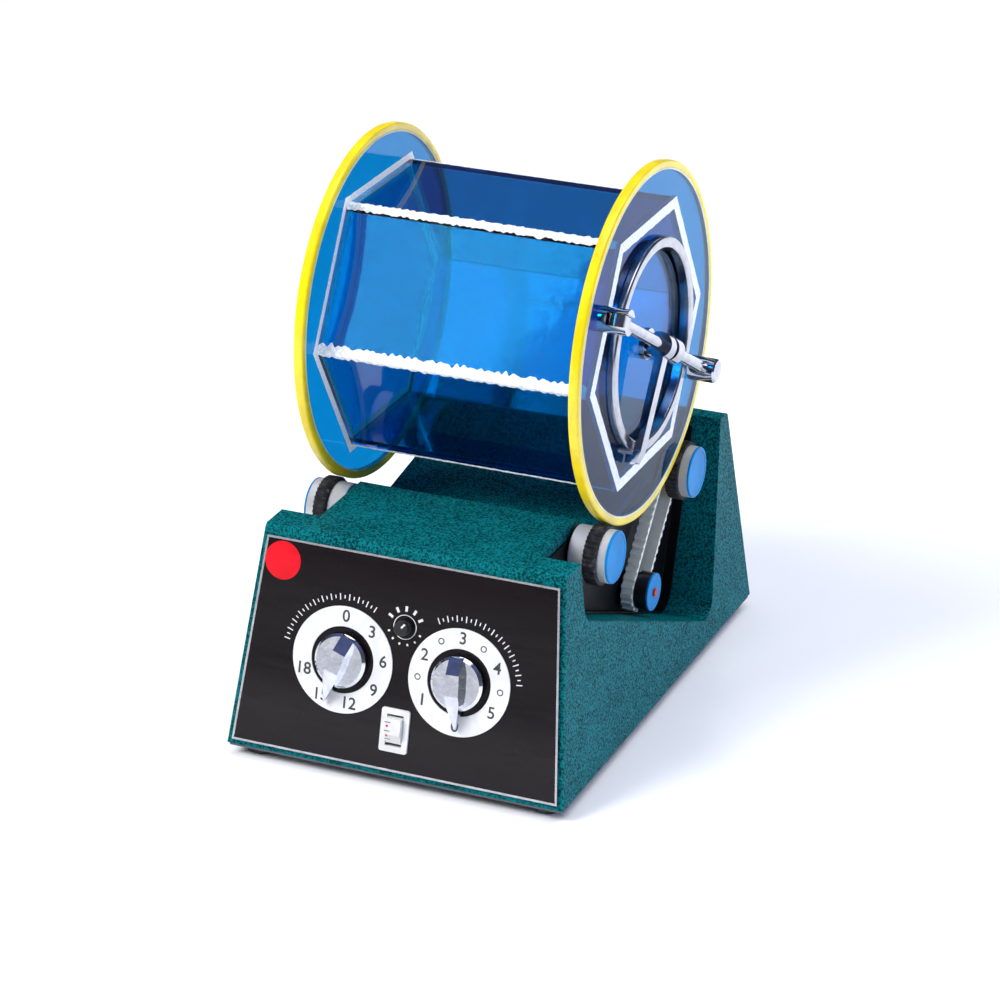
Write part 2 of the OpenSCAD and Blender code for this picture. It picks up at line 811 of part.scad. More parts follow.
// Chrome knob: a round skirt under a grip bar that slopes down to a pointer
module pointer_knob(rest) {
    r = knob_d / 2;
    stem = 10 + sheet;
    color("#d9dcdf") {
        translate([0, 0, knob_lift]) rotate_extrude() polygon([
            [0, 0], [r - 0.8, 0], [r, 0.8], [r, skirt_h - 1.5], [r - 1.5, skirt_h], [0, skirt_h]
        ]);
        rotate([0, 0, rest]) translate([0, 0, knob_lift]) intersection() {
            translate([0, far / 2, 0]) rotate([90, 0, 0]) linear_extrude(far) polygon([
                [-r + 0.5, 1], [pointer_reach, 1], [pointer_reach, 2.4], [6, knob_h],
                [-6, knob_h], [-r + 0.5, skirt_h + 1]
            ]);
            linear_extrude(knob_h + through) polygon([
                [-r + 0.5, -grip_w / 2], [r - 4, -grip_w / 2], [pointer_reach, -0.4],
                [pointer_reach, 0.4], [r - 4, grip_w / 2], [-r + 0.5, grip_w / 2]
            ]);
        }
        translate([0, 0, -stem]) cylinder(d = spindle_d, h = stem + knob_lift + 1);
    }
}

module timer_knob() { on_front(-dial_u, dial_v) pointer_knob(timer_rest); }
module speed_knob() { on_front(dial_u, dial_v) pointer_knob(speed_rest); }

module trim_knob() {
    r = trim_knob_d / 2;
    lift = panel_t + 0.4;
    color("#17181a") on_front(0, trim_v) {
        translate([0, 0, lift]) rotate_extrude() polygon([[0, 0], [r, 0], [r - 0.6, 6], [0, 6]]);
        rotate([0, 0, trim_rest]) translate([0, -0.8, lift + 5.6]) cube([r - 0.6, 1.6, 0.9]);
        translate([0, 0, -sheet - 6]) cylinder(d = trim_spindle_d, h = lift + sheet + 7);
    }
}

// ---- rollers ----------------------------------------------------------

module shaft_at(y) {
    color("#d5d8da") round_x(y, shaft_z, -hub_out + 1, hub_out - 1, shaft_d);
}

// Aluminium hub with a groove for the tyre, from x0 out to the cap
module hub_right(y, x0) {
    translate([0, y, shaft_z]) rotate([90, 0, 90]) rotate_extrude() polygon([
        [shaft_d / 2, x0], [hub_d / 2 - 0.5, x0], [hub_d / 2, x0 + 0.5], [hub_d / 2, tyre_in],
        [tyre_seat_d / 2, tyre_in], [tyre_seat_d / 2, tyre_out], [hub_d / 2, tyre_out],
        [hub_d / 2, hub_out], [0, hub_out], [0, hub_out - 1], [shaft_d / 2, hub_out - 1]
    ]);
}

// Rubber ring with rounded shoulders
module tyre_right(y) {
    r = tyre_d / 2;
    translate([0, y, shaft_z]) rotate([90, 0, 90]) rotate_extrude() polygon([
        [tyre_seat_d / 2, tyre_in], [r - 0.8, tyre_in], [r, tyre_in + 0.8], [r, tyre_out - 0.8],
        [r - 0.8, tyre_out], [tyre_seat_d / 2, tyre_out]
    ]);
}

module caps_at(y) {
    color("#1f8fd6") both_sides() round_x(y, shaft_z, hub_out, cap_out, hub_d);
}

module front_shaft() { shaft_at(front_shaft_y); }
module rear_shaft() { shaft_at(rear_shaft_y); }

module front_roller_hubs() {
    color("#d9dcdf") both_sides() hub_right(front_shaft_y, roller_in);
}

// The driven pulley takes the inner half of the right rear roller
module rear_roller_hubs() {
    color("#d9dcdf") {
        hub_right(rear_shaft_y, tyre_in - 0.4);
        mirror([1, 0, 0]) hub_right(rear_shaft_y, roller_in);
    }
}

module front_tyres() { color("#202022") both_sides() tyre_right(front_shaft_y); }
module rear_tyres() { color("#202022") both_sides() tyre_right(rear_shaft_y); }
module front_roller_caps() { caps_at(front_shaft_y); }
module rear_roller_caps() { caps_at(rear_shaft_y); }

// ---- drum -------------------------------------------------------------

disc_r = rim_d / 2 - rim_t;
mouth_r = mouth_d / 2;
ring_out = disc_out + ring_stand;
seat_x = ring_out - seat_depth;
sleeve_r = mouth_r + sleeve_t;
seat_r = mouth_r - seat_w;

module left_disc() {
    color([0.05, 0.35, 0.85, 0.6]) on_drum() translate([0, 0, -disc_out]) cylinder(r = disc_r, h = disc_t);
}

module right_disc() {
    color([0.05, 0.35, 0.85, 0.6]) on_drum() translate([0, 0, disc_in]) difference() {
        cylinder(r = disc_r, h = disc_t);
        translate([0, 0, -through]) cylinder(r = sleeve_r, h = disc_t + 2 * through);
    }
}

// Channel-shaped rim that grips the edge of a disc
module rim(x) {
    r = rim_d / 2;
    edge = 1.2;
    color("#ffe600") on_drum() translate([0, 0, x]) rotate_extrude() difference() {
        translate([r - (rim_t + rim_lip) / 2, 0])
            rounded_outline([[-(rim_t + rim_lip) / 2, -rim_w / 2], [(rim_t + rim_lip) / 2, -rim_w / 2],
                             [(rim_t + rim_lip) / 2, rim_w / 2], [-(rim_t + rim_lip) / 2, rim_w / 2]],
                            [0, edge, edge, 0]);
        translate([0, -disc_t / 2]) square([disc_r, disc_t]);
    }
}

module left_rim() { rim(-disc_mid); }
module right_rim() { rim(disc_mid); }

// One of the six panels, mitred where it meets its neighbours
module barrel_panel(k) {
    outer_r = barrel_flats / 2 / cos(30);
    inner_r = (barrel_flats / 2 - panel_wall) / cos(30);
    function at(r, a) = [r * cos(a), r * sin(a)];
    color([0.6, 0.8, 1, 0.4]) on_drum() translate([0, 0, -disc_in]) linear_extrude(2 * disc_in)
        polygon([at(inner_r, 60 * k), at(outer_r, 60 * k),
                 at(outer_r, 60 * k + 60), at(inner_r, 60 * k + 60)]);
}

module mouth_ring() {
    bevel = 0.8;
    color("#dfe2e6") on_drum() rotate_extrude() polygon([
        [seat_r, seat_x - seat_t], [sleeve_r, seat_x - seat_t], [sleeve_r, disc_out],
        [mouth_r + ring_band, disc_out], [mouth_r + ring_band, ring_out - bevel],
        [mouth_r + ring_band - bevel, ring_out], [mouth_r + bevel, ring_out],
        [mouth_r, ring_out - bevel], [mouth_r, seat_x], [seat_r, seat_x]
    ]);
}

module mouth_gasket() {
    color("#2a2a2c") on_drum() translate([0, 0, seat_x]) difference() {
        cylinder(r = mouth_r - 0.2, h = gasket_t);
        translate([0, 0, -through]) cylinder(r = seat_r + 0.2, h = gasket_t + 2 * through);
    }
}

// ---- clamp ------------------------------------------------------------

post_r = barrel_flats / 2 + 6.5;
rod_x = disc_out + rod_stand;
eye_r = 4.6;
eye_t = rod_d;
neck = post_d / 2 + 0.8;
slot_floor = rod_x - eye_r - 0.5;
slot_w = eye_t + 2 * clear;

// Forked post that the cross rod swings in
module hinge_post() {
    color("#d9dcdf") on_clamp() translate([-post_r, 0, 0]) difference() {
        translate([0, 0, disc_out]) cylinder(d = post_d, h = post_h);
        translate([-post_d, -slot_w / 2, slot_floor]) cube([2 * post_d, slot_w, post_h]);
        translate([0, 0, rod_x]) rotate([90, 0, 0]) cylinder(d = pin_d, h = post_d + 2, center = true);
    }
}

module hinge_pin() {
    color("#b9bec2") on_clamp() translate([-post_r, 0, rod_x]) rotate([90, 0, 0])
        cylinder(d = pin_d, h = post_d, center = true);
}

stud_d = 6;
socket_room = rod_stand - rod_d / 2 - 0.5;
stud_h = socket_room - 0.6;

module latch_stud() {
    color("#b9bec2") on_clamp() translate([post_r, 0, disc_out]) cylinder(d = stud_d, h = stud_h);
}

module cross_rod() {
    color("#cfd3d8") on_clamp() {
        difference() {
            union() {
                translate([-post_r, 0, rod_x]) rotate([90, 0, 0])
                    cylinder(r = eye_r, h = eye_t, center = true);
                translate([-post_r, -eye_t / 2, rod_x - rod_d / 2]) cube([neck + 1, eye_t, rod_d]);
            }
            translate([-post_r, 0, rod_x]) rotate([90, 0, 0])
                cylinder(d = pin_d + 2 * running, h = 2 * eye_t, center = true);
        }
        translate([-post_r + neck, 0, rod_x]) rotate([0, 90, 0])
            cylinder(d = rod_d, h = 2 * post_r - neck);
    }
}

barrel_end = post_h + 1;

// Socket at the free end of the rod that drops over the stud on the disc
module latch_barrel() {
    color("#cfd3d8") on_clamp() translate([post_r, 0, 0]) difference() {
        translate([0, 0, disc_out + 1.2]) rotate_extrude() polygon([
            [0, 0], [post_d / 2, 0], [post_d / 2, barrel_end - 2.2], [post_d / 2 - 1, barrel_end - 1.2],
            [0, barrel_end - 1.2]
        ]);
        translate([0, 0, disc_out]) cylinder(d = stud_d + 2.4, h = socket_room);
        translate([-post_d, 0, rod_x]) rotate([0, 90, 0]) cylinder(d = rod_d, h = post_d);
    }
}

lid_x0 = seat_x + gasket_t + clear;
lid_x1 = lid_x0 + lid_t;
pad_top = rod_x - cam_r - cam_throw - clear;
hanger_w = 11;
pad_d = 18;

module lid_plate() {
    color([0.1, 0.45, 0.9, 0.55]) on_drum() translate([0, 0, lid_x0]) cylinder(r = mouth_r - lid_gap, h = lid_t);
}

// Pressure pad on the lid, and the collar that hangs it from the cross rod
module lid_hanger() {
    start = cam_w / 2 + clear;
    color("#cfd3d8") on_clamp() difference() {
        union() {
            translate([0, 0, lid_x1]) cylinder(d = pad_d, h = pad_top - lid_x1);
            translate([start, 0, rod_x]) rotate([0, 90, 0]) cylinder(d = 15, h = hanger_w);
            translate([start, -5, lid_x1]) cube([hanger_w - 2, 10, rod_x - lid_x1]);
        }
        translate([start - through, 0, rod_x]) rotate([0, 90, 0])
            cylinder(d = rod_d, h = hanger_w + 2 * through);
    }
}

lever_r0 = 5;
lever_end = mouth_r + ring_band + 2;

// Lever with an eccentric head on the cross rod; its hooked end rests beside the ring
module cam_lever() {
    grip = 4;
    bend = 12;
    leg = [
        [-lever_r0, rod_x - 2.5], [-lever_r0, rod_x + 2.5], [-lever_end + 2, ring_out + 5.4],
        [-lever_end - grip, ring_out + 3.4], [-lever_end - grip - 1, ring_out - 3],
        [-lever_end, ring_out - 3], [-lever_end, ring_out + 0.8], [-lever_end + bend, ring_out + 1.2]
    ];
    color("#d9dcdf") on_clamp() difference() {
        union() {
            translate([0, 0, rod_x - cam_throw]) rotate([0, 90, 0])
                cylinder(r = cam_r, h = cam_w, center = true);
            rotate([90, 0, 90]) translate([0, 0, -lever_w / 2]) linear_extrude(lever_w) polygon(leg);
        }
        translate([0, 0, rod_x]) rotate([0, 90, 0])
            cylinder(d = rod_d + 2 * running, h = cam_w + 2 * through, center = true);
    }
}

// ---- nodes ------------------------------------------------------------

base_shell();
bottom_plate();
base_screws();
rubber_feet();
belt_tray();
bearing_housings();
shaft_bearings();
gear_motor();
motor_bracket();
motor_screws();
drive_belt();
speed_board();
board_pillars();
cord_gland();
control_panel();
panel_trim();
timer_dial();
speed_dial();
timer_mechanism();
speed_selector();
trim_potentiometer();
switch_housing();
timer_knob();
speed_knob();
trim_knob();
switch_rocker();
motor_shaft();
motor_pulley();
pulley_end_disc();
pulley_screw();
front_shaft();
front_roller_hubs();
front_tyres();
front_roller_caps();
rear_shaft();
rear_roller_hubs();
rear_tyres();
rear_roller_caps();
driven_pulley();
left_disc();
right_disc();
left_rim();
right_rim();
barrel_panel(1);  // barrel_panel_1
barrel_panel(2);  // barrel_panel_2
barrel_panel(3);  // barrel_panel_3
barrel_panel(4);  // barrel_panel_4
barrel_panel(5);  // barrel_panel_5
barrel_panel(6);  // barrel_panel_6
mouth_ring();
mouth_gasket();
hinge_post();
hinge_pin();
latch_stud();
cross_rod();
lid_hanger();
lid_plate();
latch_barrel();
cam_lever();
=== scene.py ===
import json
import math

import bmesh
import bpy
import numpy as np
from bpy.props import FloatProperty, FloatVectorProperty, IntProperty, PointerProperty
from bpy.types import Operator, Panel, PropertyGroup
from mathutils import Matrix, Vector

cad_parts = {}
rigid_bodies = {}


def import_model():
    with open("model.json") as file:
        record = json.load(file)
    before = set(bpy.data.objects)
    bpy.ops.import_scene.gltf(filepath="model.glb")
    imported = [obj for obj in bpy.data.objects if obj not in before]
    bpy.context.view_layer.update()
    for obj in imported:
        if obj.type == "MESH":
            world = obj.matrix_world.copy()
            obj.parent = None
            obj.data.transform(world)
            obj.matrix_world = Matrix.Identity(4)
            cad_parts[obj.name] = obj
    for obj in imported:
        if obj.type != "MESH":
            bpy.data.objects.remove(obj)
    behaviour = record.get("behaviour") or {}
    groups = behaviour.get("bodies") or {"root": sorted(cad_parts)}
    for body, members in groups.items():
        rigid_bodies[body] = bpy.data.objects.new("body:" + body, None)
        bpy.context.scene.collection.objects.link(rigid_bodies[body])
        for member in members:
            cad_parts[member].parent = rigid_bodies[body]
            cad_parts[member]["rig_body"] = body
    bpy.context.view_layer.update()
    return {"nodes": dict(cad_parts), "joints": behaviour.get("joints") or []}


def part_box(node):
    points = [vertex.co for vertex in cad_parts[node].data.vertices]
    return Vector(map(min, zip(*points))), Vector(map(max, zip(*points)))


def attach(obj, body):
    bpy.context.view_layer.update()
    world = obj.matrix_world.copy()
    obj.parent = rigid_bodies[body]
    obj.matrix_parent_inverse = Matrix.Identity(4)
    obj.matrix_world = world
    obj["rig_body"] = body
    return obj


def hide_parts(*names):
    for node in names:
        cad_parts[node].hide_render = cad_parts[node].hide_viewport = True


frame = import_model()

bl_info = {
    "name": "Rotary rock tumbler looks",
    "version": (1, 0, 0),
    "blender": (4, 2, 0),
    "location": "3D View > Sidebar > Tumbler",
    "description": "Finishes and fine detail for a six-sided barrel tumbler",
    "category": "Object",
}

MM = 0.001


# ---- places taken from the frame ---------------------------------------


def span(*nodes):
    """Lowest and highest corner of several CAD nodes together."""
    boxes = [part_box(node) for node in nodes]
    lows = np.array([low for low, high in boxes])
    highs = np.array([high for low, high in boxes])
    return lows.min(0), highs.max(0)


def joint(name):
    """The record of one joint."""
    return next(j for j in frame["joints"] if j["name"] == name)


def placed(across, up, out, origin):
    """A 4 x 4 place whose first three columns are the local directions."""
    place = np.eye(4)
    place[:3, 0] = across
    place[:3, 1] = up
    place[:3, 2] = out
    place[:3, 3] = origin
    return place


def about_x(node):
    """A place on the X line through the middle of a node, with local z along +X."""
    low, high = span(node)
    middle = (low + high) / 2
    return placed((0, 1, 0), (0, 0, 1), (1, 0, 0), (0, middle[1], middle[2]))


def on_panel(joint_name):
    """A place on the sloping panel at a control, with local z out of the panel."""
    out = np.array(joint(joint_name)["axis"], float)
    out = out * -np.sign(out[1])
    across = np.array((1.0, 0.0, 0.0))
    return placed(across, np.cross(out, across), out, joint(joint_name)["pos_m"])


def mesh_points(mesh):
    """The points of a mesh, one to a row."""
    points = np.zeros(len(mesh.vertices) * 3)
    mesh.vertices.foreach_get("co", points)
    return points.reshape(-1, 3)


def local_points(node, place):
    """The points of a node, measured in a place."""
    return (mesh_points(frame["nodes"][node].data) - place[:3, 3]) @ place[:3, :3]


def local_span(node, place):
    """Lowest and highest corner of a node, measured in a place."""
    local = local_points(node, place)
    return local.min(0), local.max(0)


# ---- surfaces -----------------------------------------------------------

SAME_POINT = 1e-7
SAME_CAD_POINT = 2e-6
FLAT_ANGLE = math.radians(0.6)
MOST_OF_HALF_A_SIDE = 0.49


def rounded(points, radius, steps=5, closed=True):
    """Each corner p becomes (1-s)^2 a + 2s(1-s) p + s^2 b, where a and b lie on the sides next to it."""
    points = np.asarray(points, float)
    before = np.roll(points, 1, axis=0)
    after = np.roll(points, -1, axis=0)
    to_before = before - points
    to_after = after - points
    length_before = np.linalg.norm(to_before, axis=1, keepdims=True)
    length_after = np.linalg.norm(to_after, axis=1, keepdims=True)
    reach = np.minimum(radius, MOST_OF_HALF_A_SIDE * np.minimum(length_before, length_after))
    if not closed:
        reach[[0, -1]] = 0
    start = points + to_before / length_before * reach
    end = points + to_after / length_after * reach
    s = np.linspace(0, 1, steps)[None, :, None]
    curve = (1 - s) ** 2 * start[:, None] + 2 * s * (1 - s) * points[:, None] + s**2 * end[:, None]
    return curve.reshape(-1, 2)


def wobble(s, seed, waves=14, fastest=60):
    """The sum of n sines sin(2 pi s v + p) over the root of 2n, with each speed v and phase p seeded."""
    rng = np.random.default_rng(seed)
    speed = rng.uniform(2, fastest, waves)
    phase = rng.uniform(0, 2 * np.pi, waves)
    total = np.sin(2 * np.pi * s[..., None] * speed + phase).sum(-1)
    return total / math.sqrt(waves * 2)


def add_mesh(name, points, faces, material, body, sharp=35):
    """A finished piece from row-frame points: doubles merged, normals outwards, smooth up to an angle."""
    mesh = bpy.data.meshes.new(name)
    mesh.from_pydata(np.asarray(points, float), [], faces)
    work = bmesh.new()
    work.from_mesh(mesh)
    bmesh.ops.remove_doubles(work, verts=work.verts, dist=SAME_POINT)
    bmesh.ops.recalc_face_normals(work, faces=work.faces)
    work.to_mesh(mesh)
    work.free()
    return add_piece(name, mesh, material, body, sharp)


def add_piece(name, mesh, material, body, sharp=35):
    """Puts a mesh into the scene as a piece that rides on a body."""
    mesh.shade_smooth()
    mesh.set_sharp_from_angle(angle=math.radians(sharp))
    mesh.materials.clear()
    mesh.materials.append(material)
    piece = bpy.data.objects.new(name, mesh)
    bpy.context.scene.collection.objects.link(piece)
    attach(piece, body)
    return piece


def grid_faces(rows, columns, close_rows=False, close_columns=False):
    """Quads of a grid of points, each joining a point to the next ones along both parameters."""
    row = np.arange(rows if close_rows else rows - 1)
    column = np.arange(columns if close_columns else columns - 1)
    r, c = np.meshgrid(row, column, indexing="ij")
    r1 = (r + 1) % rows
    c1 = (c + 1) % columns
    corners = [r * columns + c, r1 * columns + c, r1 * columns + c1, r * columns + c1]
    return np.stack(corners, -1).reshape(-1, 4)


def moved(points, place):
    """Local points carried into the row frame."""
    points = np.asarray(points, float).reshape(-1, 3)
    return points @ place[:3, :3].T + place[:3, 3]


def grid_piece(name, points, place, material, body, close_rows=False, close_columns=False, sharp=35):
    """A piece from a grid of local points."""
    rows, columns = points.shape[:2]
    faces = grid_faces(rows, columns, close_rows, close_columns).tolist()
    return add_mesh(name, moved(points, place), faces, material, body, sharp)


def lathe_points(profile, segments, ripple=None):
    """Profile points (r, h) turned about local z to (r cos a, r sin a, h), where ripple may change r."""
    profile = np.asarray(profile, float)
    a = np.linspace(0, 2 * np.pi, segments, endpoint=False)[:, None]
    r = np.broadcast_to(profile[None, :, 0], (segments, len(profile)))
    h = np.broadcast_to(profile[None, :, 1], (segments, len(profile)))
    if ripple is not None:
        r = ripple(a, r)
    return np.stack([r * np.cos(a), r * np.sin(a), h], -1)


def lathe(name, profile, place, material, body, segments=96, ripple=None, ring=True, sharp=35):
    """A turned piece. A ring's profile closes on itself, and another's starts and ends on the axis."""
    points = lathe_points(profile, segments, ripple)
    return grid_piece(name, points, place, material, body, True, ring, sharp)


def hexagon_radius(a, corner):
    """Distance to a hexagon's side at angle a: corner cos 30 / cos((a mod 60) - 30)."""
    sixth = np.pi / 3
    return corner * math.cos(sixth / 2) / np.cos(np.mod(a, sixth) - sixth / 2)


def merged_copy(node, shrink=0.0):
    """A CAD node's mesh with its triangles joined into flat faces, and drawn in towards its middle."""
    mesh = frame["nodes"][node].data.copy()
    work = bmesh.new()
    work.from_mesh(mesh)
    bmesh.ops.remove_doubles(work, verts=work.verts, dist=SAME_CAD_POINT)
    bmesh.ops.dissolve_limit(work, angle_limit=FLAT_ANGLE, verts=work.verts, edges=work.edges)
    work.to_mesh(mesh)
    work.free()
    if shrink:
        points = mesh_points(mesh)
        middle = (points.min(0) + points.max(0)) / 2
        length = np.maximum(np.linalg.norm(points - middle, axis=1, keepdims=True), SAME_POINT)
        points = points - (points - middle) / length * shrink
        mesh.vertices.foreach_set("co", points.ravel())
    mesh.update()
    return mesh


def softened(node, material, width=0.3 * MM, shrink=0.0, steps=2, sharp=30):
    """A copy of a CAD node with small rounds on its edges, which stands for the node."""
    owner = frame["nodes"][node]
    piece = add_piece(node + "_soft", merged_copy(node, shrink), material, owner["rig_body"], sharp)
    if width:
        bevel = piece.modifiers.new("edge_round", "BEVEL")
        bevel.width = width
        bevel.segments = steps
        bevel.limit_method = "ANGLE"
        bevel.angle_limit = math.radians(sharp)
        flat_faces = piece.modifiers.new("flat_faces", "WEIGHTED_NORMAL")
        flat_faces.keep_sharp = True
    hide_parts(node)
    return piece


def dress(node, material):
    """Gives a CAD node that is shown as it is its finish."""
    piece = frame["nodes"][node]
    piece.data.materials.clear()
    piece.data.materials.append(material)
    return piece


# ---- printed marks ------------------------------------------------------


STROKE_GROWTH = 0.015


def lettering(name, entries, size, place, lift, material, body):
    """Flat numbers, each made a mesh first and then put at its own point across and up the panel."""
    points = []
    faces = []
    for text, across, up in entries:
        curve = bpy.data.curves.new(name, "FONT")
        curve.body = text
        curve.size = size
        curve.offset = size * STROKE_GROWTH
        curve.align_x = "CENTER"
        curve.align_y = "CENTER"
        holder = bpy.data.objects.new(name + "_text", curve)
        flat = bpy.data.meshes.new_from_object(holder)
        local = mesh_points(flat) + (across, up, lift)
        start = sum(len(block) for block in points)
        faces += [[start + i for i in face.vertices] for face in flat.polygons]
        points.append(moved(local, place))
        bpy.data.objects.remove(holder)
        bpy.data.curves.remove(curve)
        bpy.data.meshes.remove(flat)
    mesh = bpy.data.meshes.new(name)
    mesh.from_pydata(np.concatenate(points), [], faces)
    return add_piece(name, mesh, material, body)


def strokes(name, centres, angles, length, width, place, lift, material, body):
    """Flat strokes: each is centre + s length e + t width f, with e at its angle and f square to it."""
    centres = np.asarray(centres, float)
    angles = np.broadcast_to(np.asarray(angles, float), (len(centres),))
    along = np.stack([np.cos(angles), np.sin(angles)], -1) * length / 2
    side = np.stack([-np.sin(angles), np.cos(angles)], -1) * width / 2
    corners = [centres - along - side, centres + along - side, centres + along + side, centres - along + side]
    flat = np.stack(corners, 1).reshape(-1, 2)
    local = np.column_stack([flat, np.full(len(flat), lift)])
    faces = np.arange(len(flat)).reshape(-1, 4).tolist()
    mesh = bpy.data.meshes.new(name)
    mesh.from_pydata(moved(local, place), [], faces)
    return add_piece(name, mesh, material, body)


def round_the(angles_deg, radius):
    """Points at some angles on a circle."""
    a = np.radians(np.asarray(angles_deg, float))
    return np.stack([radius * np.cos(a), radius * np.sin(a)], -1)


# ---- materials ----------------------------------------------------------


class Wire:
    """An output socket that adds Math nodes as it is reckoned with."""

    def __init__(self, nodes, socket):
        self.nodes = nodes
        self.socket = socket

    def _math(self, operation, first, second):
        return self.nodes.add("ShaderNodeMath", {"operation": operation}, {0: first, 1: second})

    def __add__(self, other):
        return self._math("ADD", self, other)

    def __sub__(self, other):
        return self._math("SUBTRACT", self, other)

    def __rsub__(self, other):
        return self._math("SUBTRACT", other, self)

    def __mul__(self, other):
        return self._math("MULTIPLY", self, other)

    __radd__ = __add__
    __rmul__ = __mul__


class Nodes:
    """A node tree that is filled from plain values and wires."""

    def __init__(self, tree):
        self.tree = tree

    def plug(self, socket, value):
        """Links a wire to a socket, or sets the socket's own value."""
        if isinstance(value, Wire):
            self.tree.links.new(value.socket, socket)
        else:
            socket.default_value = value

    def add(self, kind, settings=None, inputs=None, output=0):
        """Adds a node: its settings first, then the values and links of its sockets."""
        node = self.tree.nodes.new(kind)
        for name, value in (settings or {}).items():
            if name == "stops":
                self._set_stops(node.color_ramp, value)
            else:
                setattr(node, name, value)
        for name, value in (inputs or {}).items():
            self.plug(node.inputs[name], value)
        return Wire(self, node.outputs[output])

    @staticmethod
    def _set_stops(ramp, stops):
        while len(ramp.elements) < len(stops):
            ramp.elements.new(0.5)
        for element, (position, colour) in zip(ramp.elements, stops):
            element.position = position
            element.color = (*colour, 1)

    def where(self, turn=(0, 0, 0), stretch=(1, 1, 1)):
        """Object coordinates, turned and stretched."""
        place = self.add("ShaderNodeTexCoord", output="Object")
        return self.add("ShaderNodeMapping", None, {"Vector": place, "Rotation": turn, "Scale": stretch})

    def axis(self, vector, name):
        """One of X, Y and Z of a vector."""
        return self.add("ShaderNodeSeparateXYZ", None, {0: vector}, name)

    def noise(self, place, size, detail=2.0, roughness=0.5):
        """Cloudy noise from 0 to 1, whose lumps are about this size in metres."""
        inputs = {"Vector": place, "Scale": 1 / size, "Detail": detail, "Roughness": roughness}
        return self.add("ShaderNodeTexNoise", None, inputs)

    def cells(self, place, size):
        """Distance to the nearest of many scattered points."""
        return self.add("ShaderNodeTexVoronoi", None, {"Vector": place, "Scale": 1 / size})

    def band(self, value, low, high, first=0.0, last=1.0):
        """A smooth step of a value from first to last between low and high."""
        inputs = {0: value, 1: low, 2: high, 3: first, 4: last}
        return self.add("ShaderNodeMapRange", {"interpolation_type": "SMOOTHSTEP"}, inputs)

    def blend(self, mask, first, second):
        """Mixes two colours by a mask."""
        settings = {"data_type": "RGBA", "clamp_factor": True}
        return self.add("ShaderNodeMix", settings, {0: mask, 6: as_rgba(first), 7: as_rgba(second)}, 2)


def as_rgba(colour):
    """A colour of three values with its fourth, and a wire as it is."""
    return colour if isinstance(colour, Wire) else (*colour[:3], 1)


class Finish(Nodes):
    """A material made of one main shader and what changes over the surface."""

    def __init__(self, name, colour, roughness, constants=None):
        self.material = bpy.data.materials.new(name)
        self.material.use_nodes = True
        super().__init__(self.material.node_tree)
        self.shader = self.tree.nodes["Principled BSDF"]
        self.put("Base Color", as_rgba(colour))
        self.put("Roughness", roughness)
        for key, value in (constants or {}).items():
            self.put(key, value)

    def put(self, socket, value):
        """Sets or links one socket of the main shader."""
        self.plug(self.shader.inputs[socket], value)

    def relief(self, height, depth, strength=1.0):
        """Bumps the surface by a height that counts for this depth in metres."""
        inputs = {"Strength": strength, "Distance": depth, "Height": height}
        self.put("Normal", self.add("ShaderNodeBump", None, inputs))


def hammered_enamel(colour, fleck_colour):
    """Baked enamel with a fine hammered grain and dark flecks."""
    finish = Finish("hammered_enamel", colour, 0.35, {"Specular IOR Level": 0.05})
    place = finish.where()
    grain = finish.noise(place, 1.25 * MM, 3.0, 0.62)
    patches = finish.noise(place, 24 * MM, 2.0, 0.5)
    flecks = finish.band(grain + 0.12 * (patches - 0.5), 0.40, 0.60)
    finish.put("Base Color", finish.blend(flecks, fleck_colour, colour))
    finish.put("Roughness", 0.5 - 0.14 * flecks)
    finish.relief(grain, 0.25 * MM, 0.55)
    return finish.material


def clear_acrylic(name, colour, haze, bending=1.49):
    """Cast acrylic: tinted, with faint clouds of haze and long shallow waves in its faces."""
    constants = {"Transmission Weight": 1.0, "IOR": bending, "Specular IOR Level": 0.2}
    finish = Finish(name, colour, 0.03, constants)
    place = finish.where()
    clouds = finish.noise(place, 30 * MM, 3.0, 0.6)
    scuffs = finish.noise(finish.where(stretch=(1, 6, 6)), 9 * MM, 4.0, 0.7)
    deep = tuple(0.82 * part for part in colour)
    finish.put("Base Color", finish.blend(clouds, deep, colour))
    finish.put("Roughness", finish.band(scuffs, 0.45, 0.8, haze * 0.4, haze))
    finish.relief(clouds, 0.4 * MM, 0.12)
    return finish.material


def glue_white(name, colour, lump):
    """Set solvent glue: chalky white and full of small bubbles, with a faint painted glow that makes it read
    brighter, though glue gives no light.
    """
    # painted glow: a weak emission that brightens the glue as if lit, though the glue is no lamp
    glow = {"Emission Color": (0.9, 0.95, 1.0, 1), "Emission Strength": 0.2}
    finish = Finish(name, colour, 0.5, glow)
    place = finish.where()
    bubbles = finish.cells(place, lump)
    cloud = finish.noise(place, 3 * lump, 3.0, 0.6)
    mask = finish.band(bubbles + 0.5 * (cloud - 0.5), 0.25, 0.6)
    shade = tuple(0.72 * part for part in colour)
    finish.put("Base Color", finish.blend(mask, colour, shade))
    finish.put("Roughness", 0.35 + 0.3 * mask)
    finish.relief(1 - bubbles, 0.5 * MM, 0.6)
    return finish.material


def chrome(name, colour, roughness=0.06):
    """Plated metal, very slightly uneven from the polishing under the plate."""
    finish = Finish(name, colour, roughness, {"Metallic": 1.0})
    place = finish.where()
    smears = finish.noise(place, 6 * MM, 3.0, 0.6)
    dull = tuple(0.8 * part for part in colour)
    finish.put("Base Color", finish.blend(finish.band(smears, 0.35, 0.7), colour, dull))
    finish.put("Roughness", roughness + 0.08 * smears)
    finish.relief(smears, 0.3 * MM, 0.1)
    return finish.material


